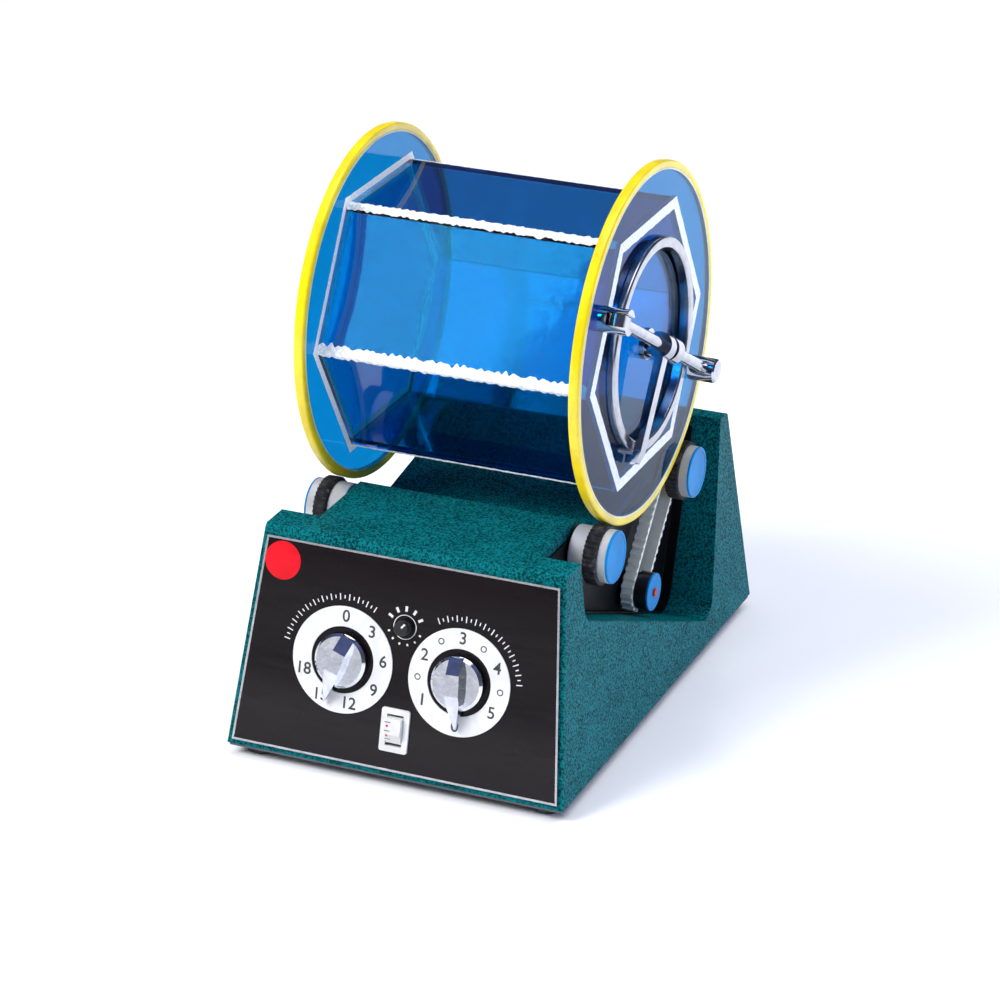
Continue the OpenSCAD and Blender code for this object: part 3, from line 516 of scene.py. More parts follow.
def turned_metal(name, colour, roughness=0.3, metallic=1.0):
    """Metal turned about X, with fine tool rings set by the place along X."""
    finish = Finish(name, colour, roughness, {"Metallic": metallic})
    rings = finish.noise(finish.where(stretch=(1, 0.03, 0.03)), 0.25 * MM, 3.0, 0.7)
    blotches = finish.noise(finish.where(), 5 * MM, 3.0, 0.6)
    dull = tuple(0.7 * part for part in colour)
    finish.put("Base Color", finish.blend(0.6 * rings + 0.4 * blotches, dull, colour))
    finish.put("Roughness", roughness + 0.15 * (rings - 0.5))
    finish.relief(rings, 0.05 * MM, 0.3)
    return finish.material


def moulded(name, colour, roughness=0.4, grain=0.5 * MM, coat=0.0, shine=0.5):
    """Moulded plastic or paint with a fine skin and faint cloudy change in shade."""
    constants = {"Coat Weight": coat, "Coat Roughness": 0.06, "Specular IOR Level": shine}
    finish = Finish(name, colour, roughness, constants)
    place = finish.where()
    skin = finish.noise(place, grain, 3.0, 0.6)
    clouds = finish.noise(place, 18 * MM, 3.0, 0.6)
    shade = tuple(0.8 * part for part in colour)
    finish.put("Base Color", finish.blend(finish.band(clouds, 0.3, 0.7), shade, colour))
    finish.put("Roughness", roughness + 0.12 * (clouds - 0.5))
    finish.relief(skin, 0.06 * MM, 0.25)
    return finish.material


def rubber(name, colour):
    """Black rubber with a dusty bloom in its hollows."""
    finish = Finish(name, colour, 0.6)
    place = finish.where()
    bloom = finish.noise(place, 4 * MM, 4.0, 0.65)
    dusty = tuple(0.05 + 1.4 * part for part in colour)
    finish.put("Base Color", finish.blend(finish.band(bloom, 0.45, 0.75), colour, dusty))
    finish.put("Roughness", 0.5 + 0.3 * bloom)
    finish.relief(finish.noise(place, 0.4 * MM), 0.08 * MM, 0.4)
    return finish.material


def belt_rubber(colour):
    """Cream moulded belt with cords that run round it, and grime that gathers in patches."""
    finish = Finish("belt_cream", colour, 0.55)
    cords = finish.noise(finish.where(stretch=(1, 0.02, 0.02)), 0.6 * MM, 2.0, 0.5)
    grime = finish.noise(finish.where(), 7 * MM, 4.0, 0.7)
    dark = tuple(0.45 * part for part in colour)
    finish.put("Base Color", finish.blend(finish.band(grime, 0.55, 0.95), colour, dark))
    finish.put("Roughness", 0.45 + 0.2 * grime)
    finish.relief(cords, 0.15 * MM, 0.5)
    return finish.material


def gloss_panel(colour):
    """Black screen-printed panel with a deep gloss, dust and fine wiping marks."""
    finish = Finish("panel_gloss", colour, 0.07, {"IOR": 1.3})
    dust = finish.noise(finish.where(), 1.2 * MM, 4.0, 0.8)
    wipes = finish.noise(finish.where(turn=(0, 0.4, 0), stretch=(0.12, 1, 1)), 3 * MM, 4.0, 0.7)
    dusty = tuple(part + 0.02 for part in colour)
    finish.put("Base Color", finish.blend(finish.band(dust, 0.62, 0.72), colour, dusty))
    finish.put("Roughness", finish.band(wipes, 0.4, 0.8, 0.05, 0.16))
    finish.relief(wipes, 0.1 * MM, 0.03)
    return finish.material


def circuit_laminate(colour):
    """Green laminate with the weave of its glass cloth and darker tracks."""
    finish = Finish("circuit_laminate", colour, 0.35, {"Coat Weight": 0.4})
    place = finish.where()
    weave = finish.add("ShaderNodeTexBrick", None, {"Vector": place, "Scale": 400.0}, 1)
    tracks = finish.noise(finish.where(stretch=(1, 1, 0.2)), 5 * MM, 0.0, 0.0)
    dark = tuple(0.5 * part for part in colour)
    finish.put("Base Color", finish.blend(finish.band(tracks, 0.5, 0.54), colour, dark))
    finish.relief(weave, 0.05 * MM, 0.3)
    return finish.material


# ---- sizes and colours that a user would change --------------------------


def a_length(name, default, description):
    """A property that is a length."""
    return FloatProperty(
        name=name, default=default, description=description, unit="LENGTH", subtype="DISTANCE"
    )


def a_colour(name, default, description):
    """A property that is a colour."""
    return FloatVectorProperty(
        name=name, default=default, description=description, subtype="COLOR", size=3, min=0.0, max=1.0
    )


class TumblerSizes(PropertyGroup):
    """Sizes of the fine detail."""

    sheet_round: a_length("Sheet edge round", 1.0 * MM, "Round on the folded edges of the base")
    small_round: a_length("Small edge round", 0.3 * MM, "Round on the edges of small metal and plastic parts")
    rib_depth: a_length("Tyre rib depth", 0.7 * MM, "Depth of the grooves across the tyres")
    rib_count: IntProperty(name="Tyre ribs", default=38, min=8, description="Ribs round each tyre")
    seam_width: a_length("Glue seam half width", 4.4 * MM, "Half width of the thick glue seams of the barrel")
    seam_height: a_length("Glue seam height", 0.9 * MM, "How far the thick glue seams stand up")
    number_height: a_length("Number height", 9.6 * MM, "Height of the numbers on the dials")
    sticker_radius: a_length("Sticker radius", 11 * MM, "Radius of the round sticker")


class TumblerColours(PropertyGroup):
    """Colours of the finishes."""

    enamel: a_colour("Enamel", (0.003, 0.175, 0.195), "Base enamel")
    enamel_fleck: a_colour("Enamel fleck", (0.001, 0.035, 0.04), "Dark flecks in the enamel")
    disc: a_colour("Disc acrylic", (0.002, 0.20, 0.50), "Tint of the round ends")
    barrel: a_colour("Barrel acrylic", (0.015, 0.34, 0.63), "Tint of the barrel panels")
    lid: a_colour("Lid acrylic", (0.02, 0.40, 0.80), "Tint of the lid")
    rim: a_colour("Rim", (0.96, 0.72, 0.002), "Moulded rims of the ends")
    glue: a_colour("Glue", (0.86, 0.89, 0.92), "Set glue in the seams")
    cap: a_colour("Roller cap", (0.001, 0.24, 0.58), "End caps of the rollers")
    metal: a_colour("Plated metal", (0.58, 0.60, 0.65), "Plated fittings")
    belt: a_colour("Belt", (0.86, 0.84, 0.72), "Toothed belt")
    panel: a_colour("Panel", (0.008, 0.006, 0.007), "Printed control panel")
    ink: a_colour("White ink", (0.85, 0.86, 0.86), "White print and dials")
    sticker: a_colour("Sticker", (0.75, 0.01, 0.02), "Round sticker")


def sizes():
    """The sizes of this scene."""
    return bpy.context.scene.tumbler_sizes


def colours():
    """The colours of this scene."""
    return bpy.context.scene.tumbler_colours


# ---- stage ---------------------------------------------------------------

CAMERA_AT = Vector((0.77417, -1.78566, 0.99117))
CAMERA_BACK = Vector((0.36245, -0.83661, 0.41075))
LENS_MM = 132.65
SENSOR_MM = 36
NEAREST_SEEN = 0.05
FLOOR_REACH = 6
FLOOR_POINTS = 9
FLOOR_DROP = 0.2 * MM


def add_lamp(name, at, aim, size, power, tint):
    """A soft square lamp at one point that faces another, and that shiny faces don't mirror."""
    light = bpy.data.lights.new(name, "AREA")
    light.size = size
    light.energy = power
    light.color = tint
    lamp = bpy.data.objects.new(name, light)
    lamp.location = at
    lamp.rotation_euler = (Vector(aim) - Vector(at)).to_track_quat("-Z", "Y").to_euler()
    lamp.visible_glossy = False
    bpy.context.scene.collection.objects.link(lamp)


def add_sky():
    """A pale floor glow, a dim band at eye level and a light ceiling."""
    world = bpy.data.worlds.new("studio")
    world.use_nodes = True
    bpy.context.scene.world = world
    nodes = Nodes(world.node_tree)
    direction = nodes.add("ShaderNodeTexCoord", output="Generated")
    height = nodes.axis(direction, "Z")
    stops = [
        (0.0, (0.95, 0.95, 0.95)),
        (0.5052, (0.9, 0.9, 0.9)),
        (0.5062, (0.12, 0.12, 0.13)),
        (0.70, (0.06, 0.065, 0.11)),
        (0.962, (0.10, 0.13, 0.30)),
        (0.975, (2.6, 2.65, 2.8)),
        (1.0, (2.8, 2.8, 2.8)),
    ]
    tint = nodes.add("ShaderNodeValToRGB", {"stops": stops}, {0: 0.5 + 0.5 * height})
    nodes.plug(world.node_tree.nodes["Background"].inputs["Color"], tint)


def add_floor():
    """A wide flat floor just under the feet."""
    finish = Finish("studio_floor", (0.93, 0.93, 0.93), 0.6)
    patches = finish.noise(finish.where(), 0.4, 2.0, 0.5)
    finish.put("Base Color", finish.blend(patches, (0.93, 0.93, 0.94), (0.95, 0.95, 0.95)))
    line = np.linspace(-FLOOR_REACH, FLOOR_REACH, FLOOR_POINTS)
    x, y = np.meshgrid(line, line, indexing="ij")
    points = np.stack([x, y, np.full_like(x, -FLOOR_DROP)], -1).reshape(-1, 3)
    mesh = bpy.data.meshes.new("studio_floor")
    mesh.from_pydata(points, [], grid_faces(FLOOR_POINTS, FLOOR_POINTS).tolist())
    mesh.materials.append(finish.material)
    floor = bpy.data.objects.new("studio_floor", mesh)
    bpy.context.scene.collection.objects.link(floor)


class StageOperator(Operator):
    """Floor, soft light and camera"""

    bl_idname = "tumbler.stage"
    bl_label = "Stage"

    def execute(self, context):
        scene = context.scene
        scene.view_settings.view_transform = "Standard"
        add_sky()
        add_floor()
        add_lamp("key_lamp", (-1.3, -1.5, 1.9), (0, 0, 0.12), 1.3, 82, (1.0, 0.99, 0.97))
        add_lamp("back_lamp", (0.9, 1.7, 1.7), (0, 0, 0.1), 1.4, 44, (0.97, 0.98, 1.0))
        add_lamp("side_lamp", (1.9, -0.35, 0.45), (0.05, 0, 0.08), 0.7, 16, (0.45, 0.62, 1.0))
        view = bpy.data.cameras.new("view")
        view.lens = LENS_MM
        view.sensor_width = SENSOR_MM
        view.clip_start = NEAREST_SEEN
        camera = bpy.data.objects.new("view", view)
        camera.location = CAMERA_AT
        camera.rotation_euler = (-CAMERA_BACK).to_track_quat("-Z", "Y").to_euler()
        scene.collection.objects.link(camera)
        scene.camera = camera
        return {"FINISHED"}


# ---- base and what is inside it -------------------------------------------


class BaseOperator(Operator):
    """Enamelled body, bottom plate, feet, tray and bearings"""

    bl_idname = "tumbler.base"
    bl_label = "Base"

    def execute(self, context):
        tint = colours()
        size = sizes()
        enamel = hammered_enamel(tuple(tint.enamel), tuple(tint.enamel_fleck))
        softened("base_shell", enamel, size.sheet_round, steps=3)
        dress("bottom_plate", moulded("plate_paint", (0.10, 0.11, 0.12), 0.5))
        screw_metal = chrome("zinc_plate", (0.62, 0.64, 0.66), 0.25)
        dress("base_screws", screw_metal)
        dress("motor_screws", screw_metal)
        softened("rubber_feet", rubber("foot_rubber", (0.012, 0.012, 0.014)), 0.8 * MM, steps=3)
        black = moulded("black_moulding", (0.006, 0.006, 0.007), 0.4, shine=0.12)
        softened("belt_tray", black, size.small_round)
        softened("bearing_housings", black, 0.5 * MM)
        softened("cord_gland", black, 0.5 * MM)
        dress("shaft_bearings", turned_metal("sintered_bronze", (0.45, 0.27, 0.12), 0.45))
        softened("gear_motor", moulded("motor_paint", (0.03, 0.032, 0.036), 0.42), 0.5 * MM)
        softened("motor_bracket", turned_metal("folded_steel", (0.52, 0.53, 0.55), 0.35), size.small_round)
        dress("speed_board", circuit_laminate((0.01, 0.16, 0.05)))
        dress("board_pillars", moulded("pillar_nylon", (0.66, 0.62, 0.5), 0.5))
        return {"FINISHED"}


# ---- drive ------------------------------------------------------------------


class DriveOperator(Operator):
    """Belt, pulleys and motor shaft"""

    bl_idname = "tumbler.drive"
    bl_label = "Drive"

    def execute(self, context):
        tint = colours()
        softened("drive_belt", belt_rubber(tuple(tint.belt)), 0.0, sharp=25)
        black = moulded("pulley_black", (0.01, 0.01, 0.012), 0.3, coat=0.3)
        softened("motor_pulley", black, 0.15 * MM)
        softened("driven_pulley", black, 0.15 * MM)
        steel = turned_metal("ground_steel", (0.7, 0.71, 0.73), 0.18)
        for node in ("motor_shaft", "front_shaft", "rear_shaft"):
            dress(node, steel)
        softened("pulley_end_disc", moulded("pulley_blue", tuple(tint.cap), 0.35, shine=0.12), 0.3 * MM)
        softened("pulley_screw", moulded("sealed_screw", (0.72, 0.04, 0.01), 0.35, shine=0.2), 0.3 * MM)
        return {"FINISHED"}


# ---- rollers -----------------------------------------------------------------


TYRE_SEAT = 12.2 * MM
TREAD_DEPTH = 1.2 * MM
CAP_THICKNESS = 1.3 * MM
CAP_RECESS = 0.25 * MM


def tyre_ribs(outer, count, depth):
    """A ripple: r minus the depth times a rounded square wave (1 - tanh(4 cos(n a))) / 2, in the tread."""

    def ripple(a, r):
        wave = 0.5 - 0.5 * np.tanh(4 * np.cos(count * a))
        return r - depth * wave * (r > outer - TREAD_DEPTH)

    return ripple


def cap_profile(radius, face):
    """Half of a cap's section: a flat disc with a rounded edge and a shallow recess in its face."""
    back = face - CAP_THICKNESS
    edge = 0.5 * MM
    floor = face - CAP_RECESS
    recess = 0.86 * radius
    recess_floor = 0.84 * radius
    corners = [
        (0, back),
        (radius, back),
        (radius, face - edge),
        (radius - edge, face),
        (recess, face),
        (recess_floor, floor),
        (0, floor),
    ]
    return rounded(corners, 0.3 * MM, closed=False)


def add_roller_pieces(which, rubber_black, metal, cap_blue, rib_count, rib_depth):
    """Two ribbed tyres, two recessed caps and the turned hubs of one roller pair."""
    body = which + "_rollers"
    tyres = which + "_tyres"
    caps = which + "_roller_caps"
    place = about_x(tyres)
    local = local_points(tyres, place)
    outer = local[:, 0].max()
    out = local[:, 2].max()
    inner = local[local[:, 2] > 0, 2].min()
    cap_high = local_span(caps, place)[1]
    for side, sign in (("right", 1), ("left", -1)):
        section = [(TYRE_SEAT, inner), (outer, inner), (outer, out), (TYRE_SEAT, out)]
        tyre = lathe(
            f"{which}_tyre_{side}", rounded(section, 1.0 * MM) * (1, sign), place, rubber_black, body,
            8 * rib_count, tyre_ribs(outer, rib_count, rib_depth), sharp=50,
        )
        cap = lathe(
            f"{which}_cap_{side}", cap_profile(cap_high[0], cap_high[2]) * (1, sign), place, cap_blue, body,
            ring=False,
        )
        if side == "right":
            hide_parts(tyres)
            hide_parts(caps)
    softened(which + "_roller_hubs", metal, 0.4 * MM)


class RollersOperator(Operator):
    """Ribbed tyres, turned hubs and blue caps"""

    bl_idname = "tumbler.rollers"
    bl_label = "Rollers"

    def execute(self, context):
        tint = colours()
        size = sizes()
        rubber_black = rubber("tyre_rubber", (0.012, 0.012, 0.014))
        metal = turned_metal("turned_aluminium", (0.80, 0.81, 0.83), 0.42, 0.45)
        cap_blue = moulded("cap_blue", tuple(tint.cap), 0.35, shine=0.12)
        for which in ("front", "rear"):
            add_roller_pieces(which, rubber_black, metal, cap_blue, size.rib_count, size.rib_depth)
        return {"FINISHED"}


# ---- drum --------------------------------------------------------------------


RIM_WIDTH = 5.0 * MM
LIP_OUT = 0.4 * MM
LIP_IN = 0.5 * MM


def add_rim(side, yellow, pale_painted_highlight):
    """A rounded rim round one end, and a lip along its inner edge coloured pale as a painted highlight."""
    place = about_x(side + "_rim")
    low, high = local_span(side + "_rim", place)
    radius = high[0]
    inner = radius - RIM_WIDTH
    section = [(inner, low[2]), (radius, low[2]), (radius, high[2]), (inner, high[2])]
    rim = lathe(
        side + "_rim_moulding", rounded(section, 1.7 * MM, 7), place, yellow, "drum",
        segments=256, sharp=60,
    )
    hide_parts(side + "_rim")
    # the lip is a thin pale ring whose colour is a painted highlight on the rim's inner edge
    lip = [
        (inner - LIP_IN, low[2] + 0.3 * MM),
        (inner + LIP_OUT, low[2] + 0.1 * MM),
        (inner + LIP_OUT, high[2] - 0.1 * MM),
        (inner - LIP_IN, high[2] - 0.3 * MM),
    ]
    lathe(
        side + "_rim_lip", rounded(lip, 0.2 * MM, 3), place, pale_painted_highlight, "drum",
        segments=256, sharp=60,
    )


class EndsOperator(Operator):
    """Tinted round ends and their yellow rims"""

    bl_idname = "tumbler.ends"
    bl_label = "Round ends"

    def execute(self, context):
        tint = colours()
        acrylic = clear_acrylic("disc_acrylic", tuple(tint.disc), 0.10, 1.22)
        yellow = moulded("rim_yellow", tuple(tint.rim), 0.32, coat=0.5)
        # pale colour of the rim lips: a painted highlight
        pale_painted_highlight = moulded("rim_lip", (0.85, 0.84, 0.70), 0.4)
        for side in ("left", "right"):
            softened(side + "_disc", acrylic, 0.0, shrink=0.03 * MM)
            add_rim(side, yellow, pale_painted_highlight)
        return {"FINISHED"}


PANEL_WALL = 6.9 * MM
FRAME_THICKNESS = 0.04 * MM
OUTER_FRAME_LIFT = 0.10 * MM
SEAM_ROWS = 420
SEAM_COLUMNS = 15
SEAM_WAVES = 22
THIN_SEAM = 0.22
THICK_SEAMS = {120: 1.0, 180: 1.15}


def barrel_corner():
    """Distance from the drum's axis to the outer corners of the barrel, and half the barrel's length."""
    panels = [f"barrel_panel_{k}" for k in range(1, 7)]
    low, high = span(*panels)
    return (high[1] - low[1]) / 2, (high[0] - low[0]) / 2


def seam_points(angle_deg, corner, half_length, width, height, seed):
    """A bead over a barrel corner: at (s, t) it lies |t| w(s) from the corner along one of the two
    sides, and stands out by h (1 - t^2), with w and h changed along s by seeded wobbles."""
    rng = np.random.default_rng(seed)
    s = np.linspace(-1, 1, SEAM_ROWS)[:, None]
    t = np.linspace(-1, 1, SEAM_COLUMNS)[None, :]
    rough = rng.normal(0, 1, (SEAM_ROWS, SEAM_COLUMNS))
    smooth = sum(np.roll(rough, shift, 0) for shift in range(-3, 4)) / math.sqrt(7)
    smooth = (smooth + np.roll(smooth, 1, 1)) / math.sqrt(2)
    upper = wobble(s[:, 0], seed, fastest=SEAM_WAVES)[:, None]
    lower = wobble(s[:, 0], seed + 1, fastest=SEAM_WAVES)[:, None]
    edge_up = width * (0.62 + 0.16 * upper)
    edge_down = width * (1 + 0.24 * lower)
    reach = np.abs(t) * np.where(t < 0, edge_down, edge_up)
    lift = height * ((1 - t**2) * (0.72 + 0.2 * smooth) + 0.04)
    angle = math.radians(angle_deg)
    toward = np.array((math.cos(angle), math.sin(angle)))
    up_side = turn(toward, 120)
    down_side = turn(toward, -120)
    side = np.where((t < 0)[..., None], down_side, up_side)
    outward = np.where((t < 0)[..., None], turn(down_side, 90), turn(up_side, -90))
    flat = toward * corner + side * reach[..., None] + outward * lift[..., None]
    x = np.broadcast_to(s * half_length, reach.shape)
    return np.concatenate([flat, x[..., None]], -1)


def turn(vector, degrees):
    """A flat vector turned by some degrees."""
    a = math.radians(degrees)
    return np.array((
        vector[0] * math.cos(a) - vector[1] * math.sin(a),
        vector[0] * math.sin(a) + vector[1] * math.cos(a),
    ))


def band_points(inner, outer, low, high, seed):
    """A six-sided frame: at angle a its two edges lie at hexagon_radius(a), each with a small wobble."""
    a = np.linspace(0, 2 * np.pi, 720, endpoint=False)
    jitter = 0.25 * MM * wobble(a / (2 * np.pi), seed, fastest=90)
    r_in = hexagon_radius(a, inner) + jitter
    r_out = hexagon_radius(a, outer) + 0.5 * np.roll(jitter, 211)
    r = np.stack([r_in, r_out, r_out, r_in], -1)
    h = np.broadcast_to(np.array((low, low, high, high)), r.shape)
    return np.stack([r * np.cos(a)[:, None], r * np.sin(a)[:, None], h], -1)


class BarrelOperator(Operator):
    """Clear panels, glue seams and the white frames where they meet the ends"""

    bl_idname = "tumbler.barrel"
    bl_label = "Barrel"

    def execute(self, context):
        tint = colours()
        size = sizes()
        acrylic = clear_acrylic("barrel_acrylic", tuple(tint.barrel), 0.08)
        for k in range(1, 7):
            softened(f"barrel_panel_{k}", acrylic, 0.0, shrink=0.06 * MM)
        # both glue finishes carry the painted glow of glue_white
        white = glue_white("seam_glue", tuple(tint.glue), 1.6 * MM)
        frost = glue_white("frame_glue", tuple(tint.glue), 0.8 * MM)
        corner, half_length = barrel_corner()
        place = about_x("left_rim")
        for angle in range(0, 360, 60):
            share = THICK_SEAMS.get(angle, THIN_SEAM)
            height = size.seam_height if angle in THICK_SEAMS else 0.5 * size.seam_height
            points = seam_points(
                angle, corner, half_length - 0.3 * MM, size.seam_width * share, height, angle + 7
            )
            grid_piece(f"glue_seam_{angle}", points, place, white, "drum", sharp=80)
        face = local_span("right_disc", place)[1][2] + OUTER_FRAME_LIFT
        inside = corner - PANEL_WALL
        frames = (
            ("left_end_frame", -half_length, FRAME_THICKNESS, inside - 4.2 * MM, corner + 4.6 * MM),
            ("right_end_frame", half_length, -FRAME_THICKNESS, inside - 2.0 * MM, corner + 1.2 * MM),
            ("right_outer_frame", face, -FRAME_THICKNESS, inside, corner + 0.4 * MM),
        )
        for name, x, depth, inner, outer in frames:
            first, last = sorted((x, x + depth))
            points = band_points(inner, outer, first, last, len(name))
            grid_piece(name, points, place, frost, "drum", True, True)
        return {"FINISHED"}


# ---- mouth, lid and clamp -------------------------------------------------------


class MouthOperator(Operator):
    """Chrome mouth ring, gasket, lid and cam clamp"""

    bl_idname = "tumbler.mouth"
    bl_label = "Mouth and clamp"

    def execute(self, context):
        tint = colours()
        size = sizes()
        plated = chrome("plated_fitting", tuple(tint.metal))
        ring_metal = chrome("plated_ring", tuple(0.9 * part for part in tint.metal), 0.12)
        softened("mouth_ring", ring_metal, 0.6 * MM, steps=3)
        dress("mouth_gasket", rubber("gasket_rubber", (0.015, 0.015, 0.017)))
        for node in ("hinge_post", "cross_rod", "lid_hanger", "latch_barrel", "cam_lever"):
            softened(node, plated, 0.45 * MM, steps=3)
        pin_metal = chrome("bright_pin", (0.72, 0.73, 0.76), 0.16)
        softened("hinge_pin", pin_metal, size.small_round)
        softened("latch_stud", pin_metal, size.small_round)
        softened("lid_plate", clear_acrylic("lid_acrylic", tuple(tint.lid), 0.10, 1.22), 0.4 * MM)
        return {"FINISHED"}


# ---- control panel ---------------------------------------------------------------


PRINT_LIFT = 0.03 * MM
NUMBER_LIFT = 0.04 * MM
NUMBER_RING = 0.815
MARK_PITCH = 4.5


def dial_top(dial, place):
    """Radius of a dial's edge, and the height at which its print lies."""
    high = local_span(dial, place)[1]
    return high[0], high[2] + NUMBER_LIFT


def ring_section(inner, outer, low):
    """Section of a flat printed ring."""
    high = low + PRINT_LIFT
    return [(inner, low), (outer, low), (outer, high), (inner, high)]


def add_timer_print(ink, grey):
    """Minute numbers round the timer dial, with fine marks outside it."""
    place = on_panel("timer_turn")
    outer, top = dial_top("timer_dial", place)
    minutes = np.arange(0, 19, 3)
    angles = 90 - 41.5 * np.arange(len(minutes))
    centres = round_the(angles, NUMBER_RING * outer)
    entries = [(str(m), x, y) for m, (x, y) in zip(minutes, centres)]
    lettering("timer_numbers", entries, sizes().number_height, place, top, grey, "base")
    add_scale_ring("timer", place, outer, np.arange(62, 171, MARK_PITCH), ink)


def add_speed_print(ink, grey):
    """Speed steps round the speed dial, with open marks half-way between them."""
    place = on_panel("speed_turn")
    outer, top = dial_top("speed_dial", place)
    middle = NUMBER_RING * outer
    angles = {"3": 90.0, "4": 28.5, "5": -33.0, "2": 151.5, "1": 213.0, "0": -90.0}
    centres = round_the(list(angles.values()), middle)
    entries = [(text, x, y) for text, (x, y) in zip(angles, centres)]
    lettering("speed_numbers", entries, sizes().number_height, place, top, grey, "base")
    half_way = round_the([182.25, 120.75, 59.25, -2.25], middle)
    for k, (x, y) in enumerate(half_way):
        spot = place.copy()
        spot[:3, 3] = moved((x, y, 0), place)[0]
        ring = ring_section(1.25 * MM, 1.9 * MM, top)
        lathe(f"speed_half_mark_{k}", ring, spot, grey, "base", segments=28)
    add_scale_ring("speed", place, outer, np.arange(8, 117, MARK_PITCH), ink)


def panel_top(place):
    """The height at which print lies on the panel."""
    return local_span("control_panel", place)[1][2] + PRINT_LIFT


def add_scale_ring(which, place, outer, angles, ink):
    """Short white strokes in an arc over a dial, printed on the panel."""
    gap = 5.2 * MM
    long = np.arange(len(angles)) % 2 == 0
    for name, chosen, size in (("long", long, 3.6 * MM), ("short", ~long, 1.9 * MM)):
        strokes(
            f"{which}_scale_{name}", round_the(angles[chosen], outer + gap), np.radians(angles[chosen]),
            size, 0.6 * MM, place, panel_top(place), ink, "base",
        )


def add_trim_print(ink):
    """Wide marks over the small trim knob, narrow ones under it and a fine ring round it."""
    place = on_panel("trim_turn")
    height = panel_top(place)
    rows = (
        ("trim_marks_upper", np.arange(30, 151, 30.0), 10.4 * MM, 3.0 * MM, 1.5 * MM),
        ("trim_marks_lower", np.arange(200, 341, 28.0), 10.0 * MM, 1.3 * MM, 1.1 * MM),
    )
    for name, angles, radius, length, width in rows:
        strokes(
            name, round_the(angles, radius), np.radians(angles), length, width,
            place, height, ink, "base",
        )
    ring = ring_section(6.6 * MM, 7.0 * MM, height)
    lathe("trim_ring_print", ring, place, ink, "base", segments=64)


STICKER_AT = (-42.0 * MM, 49.6 * MM)
STICKER_LIFT = 0.02 * MM
STICKER_THICKNESS = 0.12 * MM


def add_sticker(tint, radius):
    """A plain round sticker near the upper left corner of the panel."""
    place = on_panel("timer_turn")
    top = local_span("control_panel", place)[1][2] + STICKER_LIFT
    spot = place.copy()
    spot[:3, 3] = moved((*STICKER_AT, top), place)[0]
    section = [(0, 0), (radius, 0), (radius, STICKER_THICKNESS), (0, STICKER_THICKNESS)]
    face = rounded(section, 0.05 * MM, closed=False)
    red = moulded("sticker_red", tint, 0.4, shine=0.15)
    lathe("round_sticker", face, spot, red, "base", ring=False)


class PanelOperator(Operator):
    """Printed panel, dials, numbers, marks and sticker"""

    bl_idname = "tumbler.panel"
    bl_label = "Control panel"

    def execute(self, context):
        tint = colours()
        softened("control_panel", gloss_panel(tuple(tint.panel)), 0.25 * MM)
        dress("panel_trim", chrome("bright_strip", (0.75, 0.76, 0.78), 0.2))
        dial = moulded("dial_white", tuple(tint.ink), 0.3, coat=0.4)
        softened("timer_dial", dial, 0.1 * MM)
        softened("speed_dial", dial, 0.1 * MM)
        body = moulded("control_body", (0.15, 0.11, 0.06), 0.45)
        for node in ("timer_mechanism", "speed_selector", "trim_potentiometer"):
            dress(node, body)
        ink = moulded("white_ink", tuple(tint.ink), 0.45)
        grey = moulded("grey_ink", (0.05, 0.05, 0.055), 0.45)
        add_timer_print(ink, grey)
        add_speed_print(ink, grey)
        add_trim_print(ink)
        add_sticker(tuple(tint.sticker), sizes().sticker_radius)
        return {"FINISHED"}


LOOK_FROM = 50 * MM
SPOT_SHARES = (0.68, 0.32)
SLIT_SHARES = (0.82, 0.5, 0.18)
POINTER_REST = math.radians(50)


def facing_place(node, place, across, up):
    """A place where a line square to the panel meets a node, with local z along the face there."""
    bpy.context.view_layer.update()
    start = Vector(moved((across, up, LOOK_FROM), place)[0])
    hit, point, normal, _ = bpy.data.objects[node + "_soft"].ray_cast(start, Vector(-place[:3, 2]))
    if not hit:
        raise RuntimeError(f"nothing of {node} lies at {across}, {up}")
    side = np.array((1.0, 0.0, 0.0))
    return placed(side, np.cross(normal, side), normal, point)


def add_switch_detail(dark, red):
    """Slits near one edge of the rocker, drawn as flat strokes of painted shade, and two small red spots."""
    place = on_panel("trim_turn")
    low, high = local_span("switch_rocker", place)
    width, height = (high - low)[:2]
    left = low[0] + 0.2 * width
    dome = [(0, -0.2 * MM), (0.75 * MM, -0.2 * MM), (0.75 * MM, 0.05 * MM), (0, 0.14 * MM)]
    for k, share in enumerate(SPOT_SHARES):
        spot = facing_place("switch_rocker", place, left, low[1] + share * height)
        lathe(
            f"switch_spot_{k}", rounded(dome, 0.1 * MM, closed=False), spot, red, "switch_rocker",
            segments=32, ring=False,
        )
    # each slit is painted shade: a flat dark stroke where a cut would hold shadow
    for k, share in enumerate(SLIT_SHARES):
        spot = facing_place("switch_rocker", place, left + 0.02 * width, low[1] + share * height)
        strokes(
            f"switch_slit_{k}", [(0, 0)], 0.0, 0.30 * width, 0.45 * MM, spot, PRINT_LIFT,
            dark, "switch_rocker",
        )


def add_trim_pointer(ink):
    """A white line along the pointer of the small knob."""
    place = on_panel("trim_turn")
    reach = 0.55 * local_span("trim_knob", place)[1][0]
    spot = facing_place("trim_knob", place, reach * math.cos(POINTER_REST), reach * math.sin(POINTER_REST))
    strokes(
        "trim_pointer_line", [(0, 0)], POINTER_REST, 3.2 * MM, 1.0 * MM, spot, NUMBER_LIFT,
        ink, "trim_knob",
    )


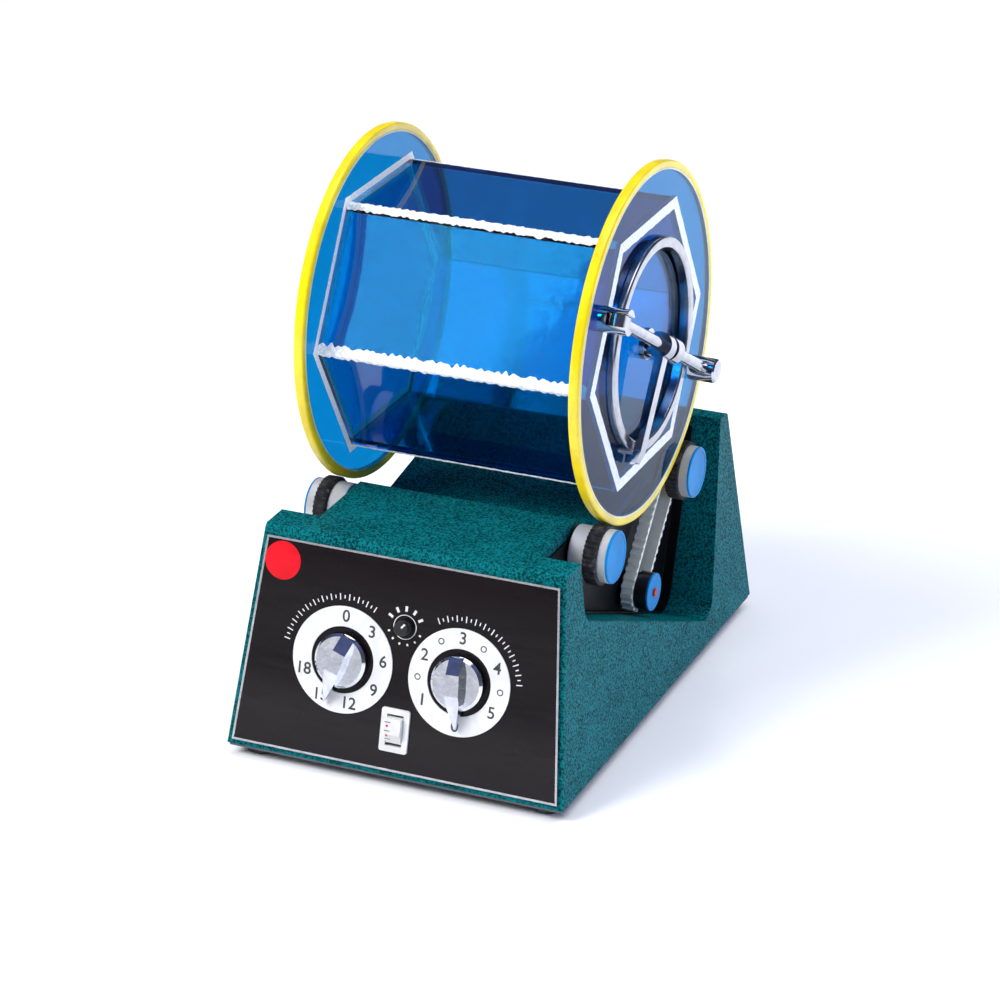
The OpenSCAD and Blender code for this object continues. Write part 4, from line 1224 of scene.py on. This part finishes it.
class ControlsOperator(Operator):
    """Knobs and the rocker switch"""

    bl_idname = "tumbler.controls"
    bl_label = "Knobs and switch"

    def execute(self, context):
        tint = colours()
        bright = chrome("knob_plate", tuple(1.4 * part for part in tint.metal), 0.035)
        softened("timer_knob", bright, 0.3 * MM, steps=3)
        softened("speed_knob", bright, 0.3 * MM, steps=3)
        softened("trim_knob", moulded("trim_black", (0.01, 0.01, 0.012), 0.3, coat=0.3), 0.3 * MM)
        add_trim_pointer(moulded("pointer_ink", tuple(tint.ink), 0.4))
        white = moulded("switch_white", (0.82, 0.82, 0.80), 0.32, coat=0.4)
        softened("switch_housing", white, 0.4 * MM, steps=3)
        softened("switch_rocker", white, 0.5 * MM, steps=3)
        # painted shade for the slits in the rocker
        slit_painted_shade = moulded("slit_painted_shade", (0.03, 0.03, 0.03), 0.6)
        spot_red = moulded("spot_red", (0.7, 0.02, 0.02), 0.4)
        add_switch_detail(slit_painted_shade, spot_red)
        return {"FINISHED"}


# ---- panel, registration and run -----------------------------------------------------

STEPS = (
    StageOperator,
    BaseOperator,
    DriveOperator,
    RollersOperator,
    EndsOperator,
    BarrelOperator,
    MouthOperator,
    PanelOperator,
    ControlsOperator,
)


class TumblerPanel(Panel):
    """The steps that finish the tumbler, and its sizes and colours"""

    bl_idname = "VIEW3D_PT_tumbler"
    bl_label = "Rock tumbler"
    bl_space_type = "VIEW_3D"
    bl_region_type = "UI"
    bl_category = "Tumbler"

    def draw(self, context):
        for step in STEPS:
            self.layout.operator(step.bl_idname)
        for group in (context.scene.tumbler_sizes, context.scene.tumbler_colours):
            box = self.layout.box()
            for name in group.bl_rna.properties.keys():
                if name not in ("name", "rna_type"):
                    box.prop(group, name)


CLASSES = (TumblerSizes, TumblerColours, *STEPS, TumblerPanel)


def register():
    """Adds the classes and the two groups of properties."""
    for item in CLASSES:
        bpy.utils.register_class(item)
    bpy.types.Scene.tumbler_sizes = PointerProperty(type=TumblerSizes)
    bpy.types.Scene.tumbler_colours = PointerProperty(type=TumblerColours)


def unregister():
    """Takes away what register added."""
    del bpy.types.Scene.tumbler_colours
    del bpy.types.Scene.tumbler_sizes
    for item in reversed(CLASSES):
        bpy.utils.unregister_class(item)


def main():
    """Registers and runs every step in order."""
    register()
    for step in STEPS:
        group, name = step.bl_idname.split(".")
        getattr(getattr(bpy.ops, group), name)()


if __name__ == "__main__":
    main()
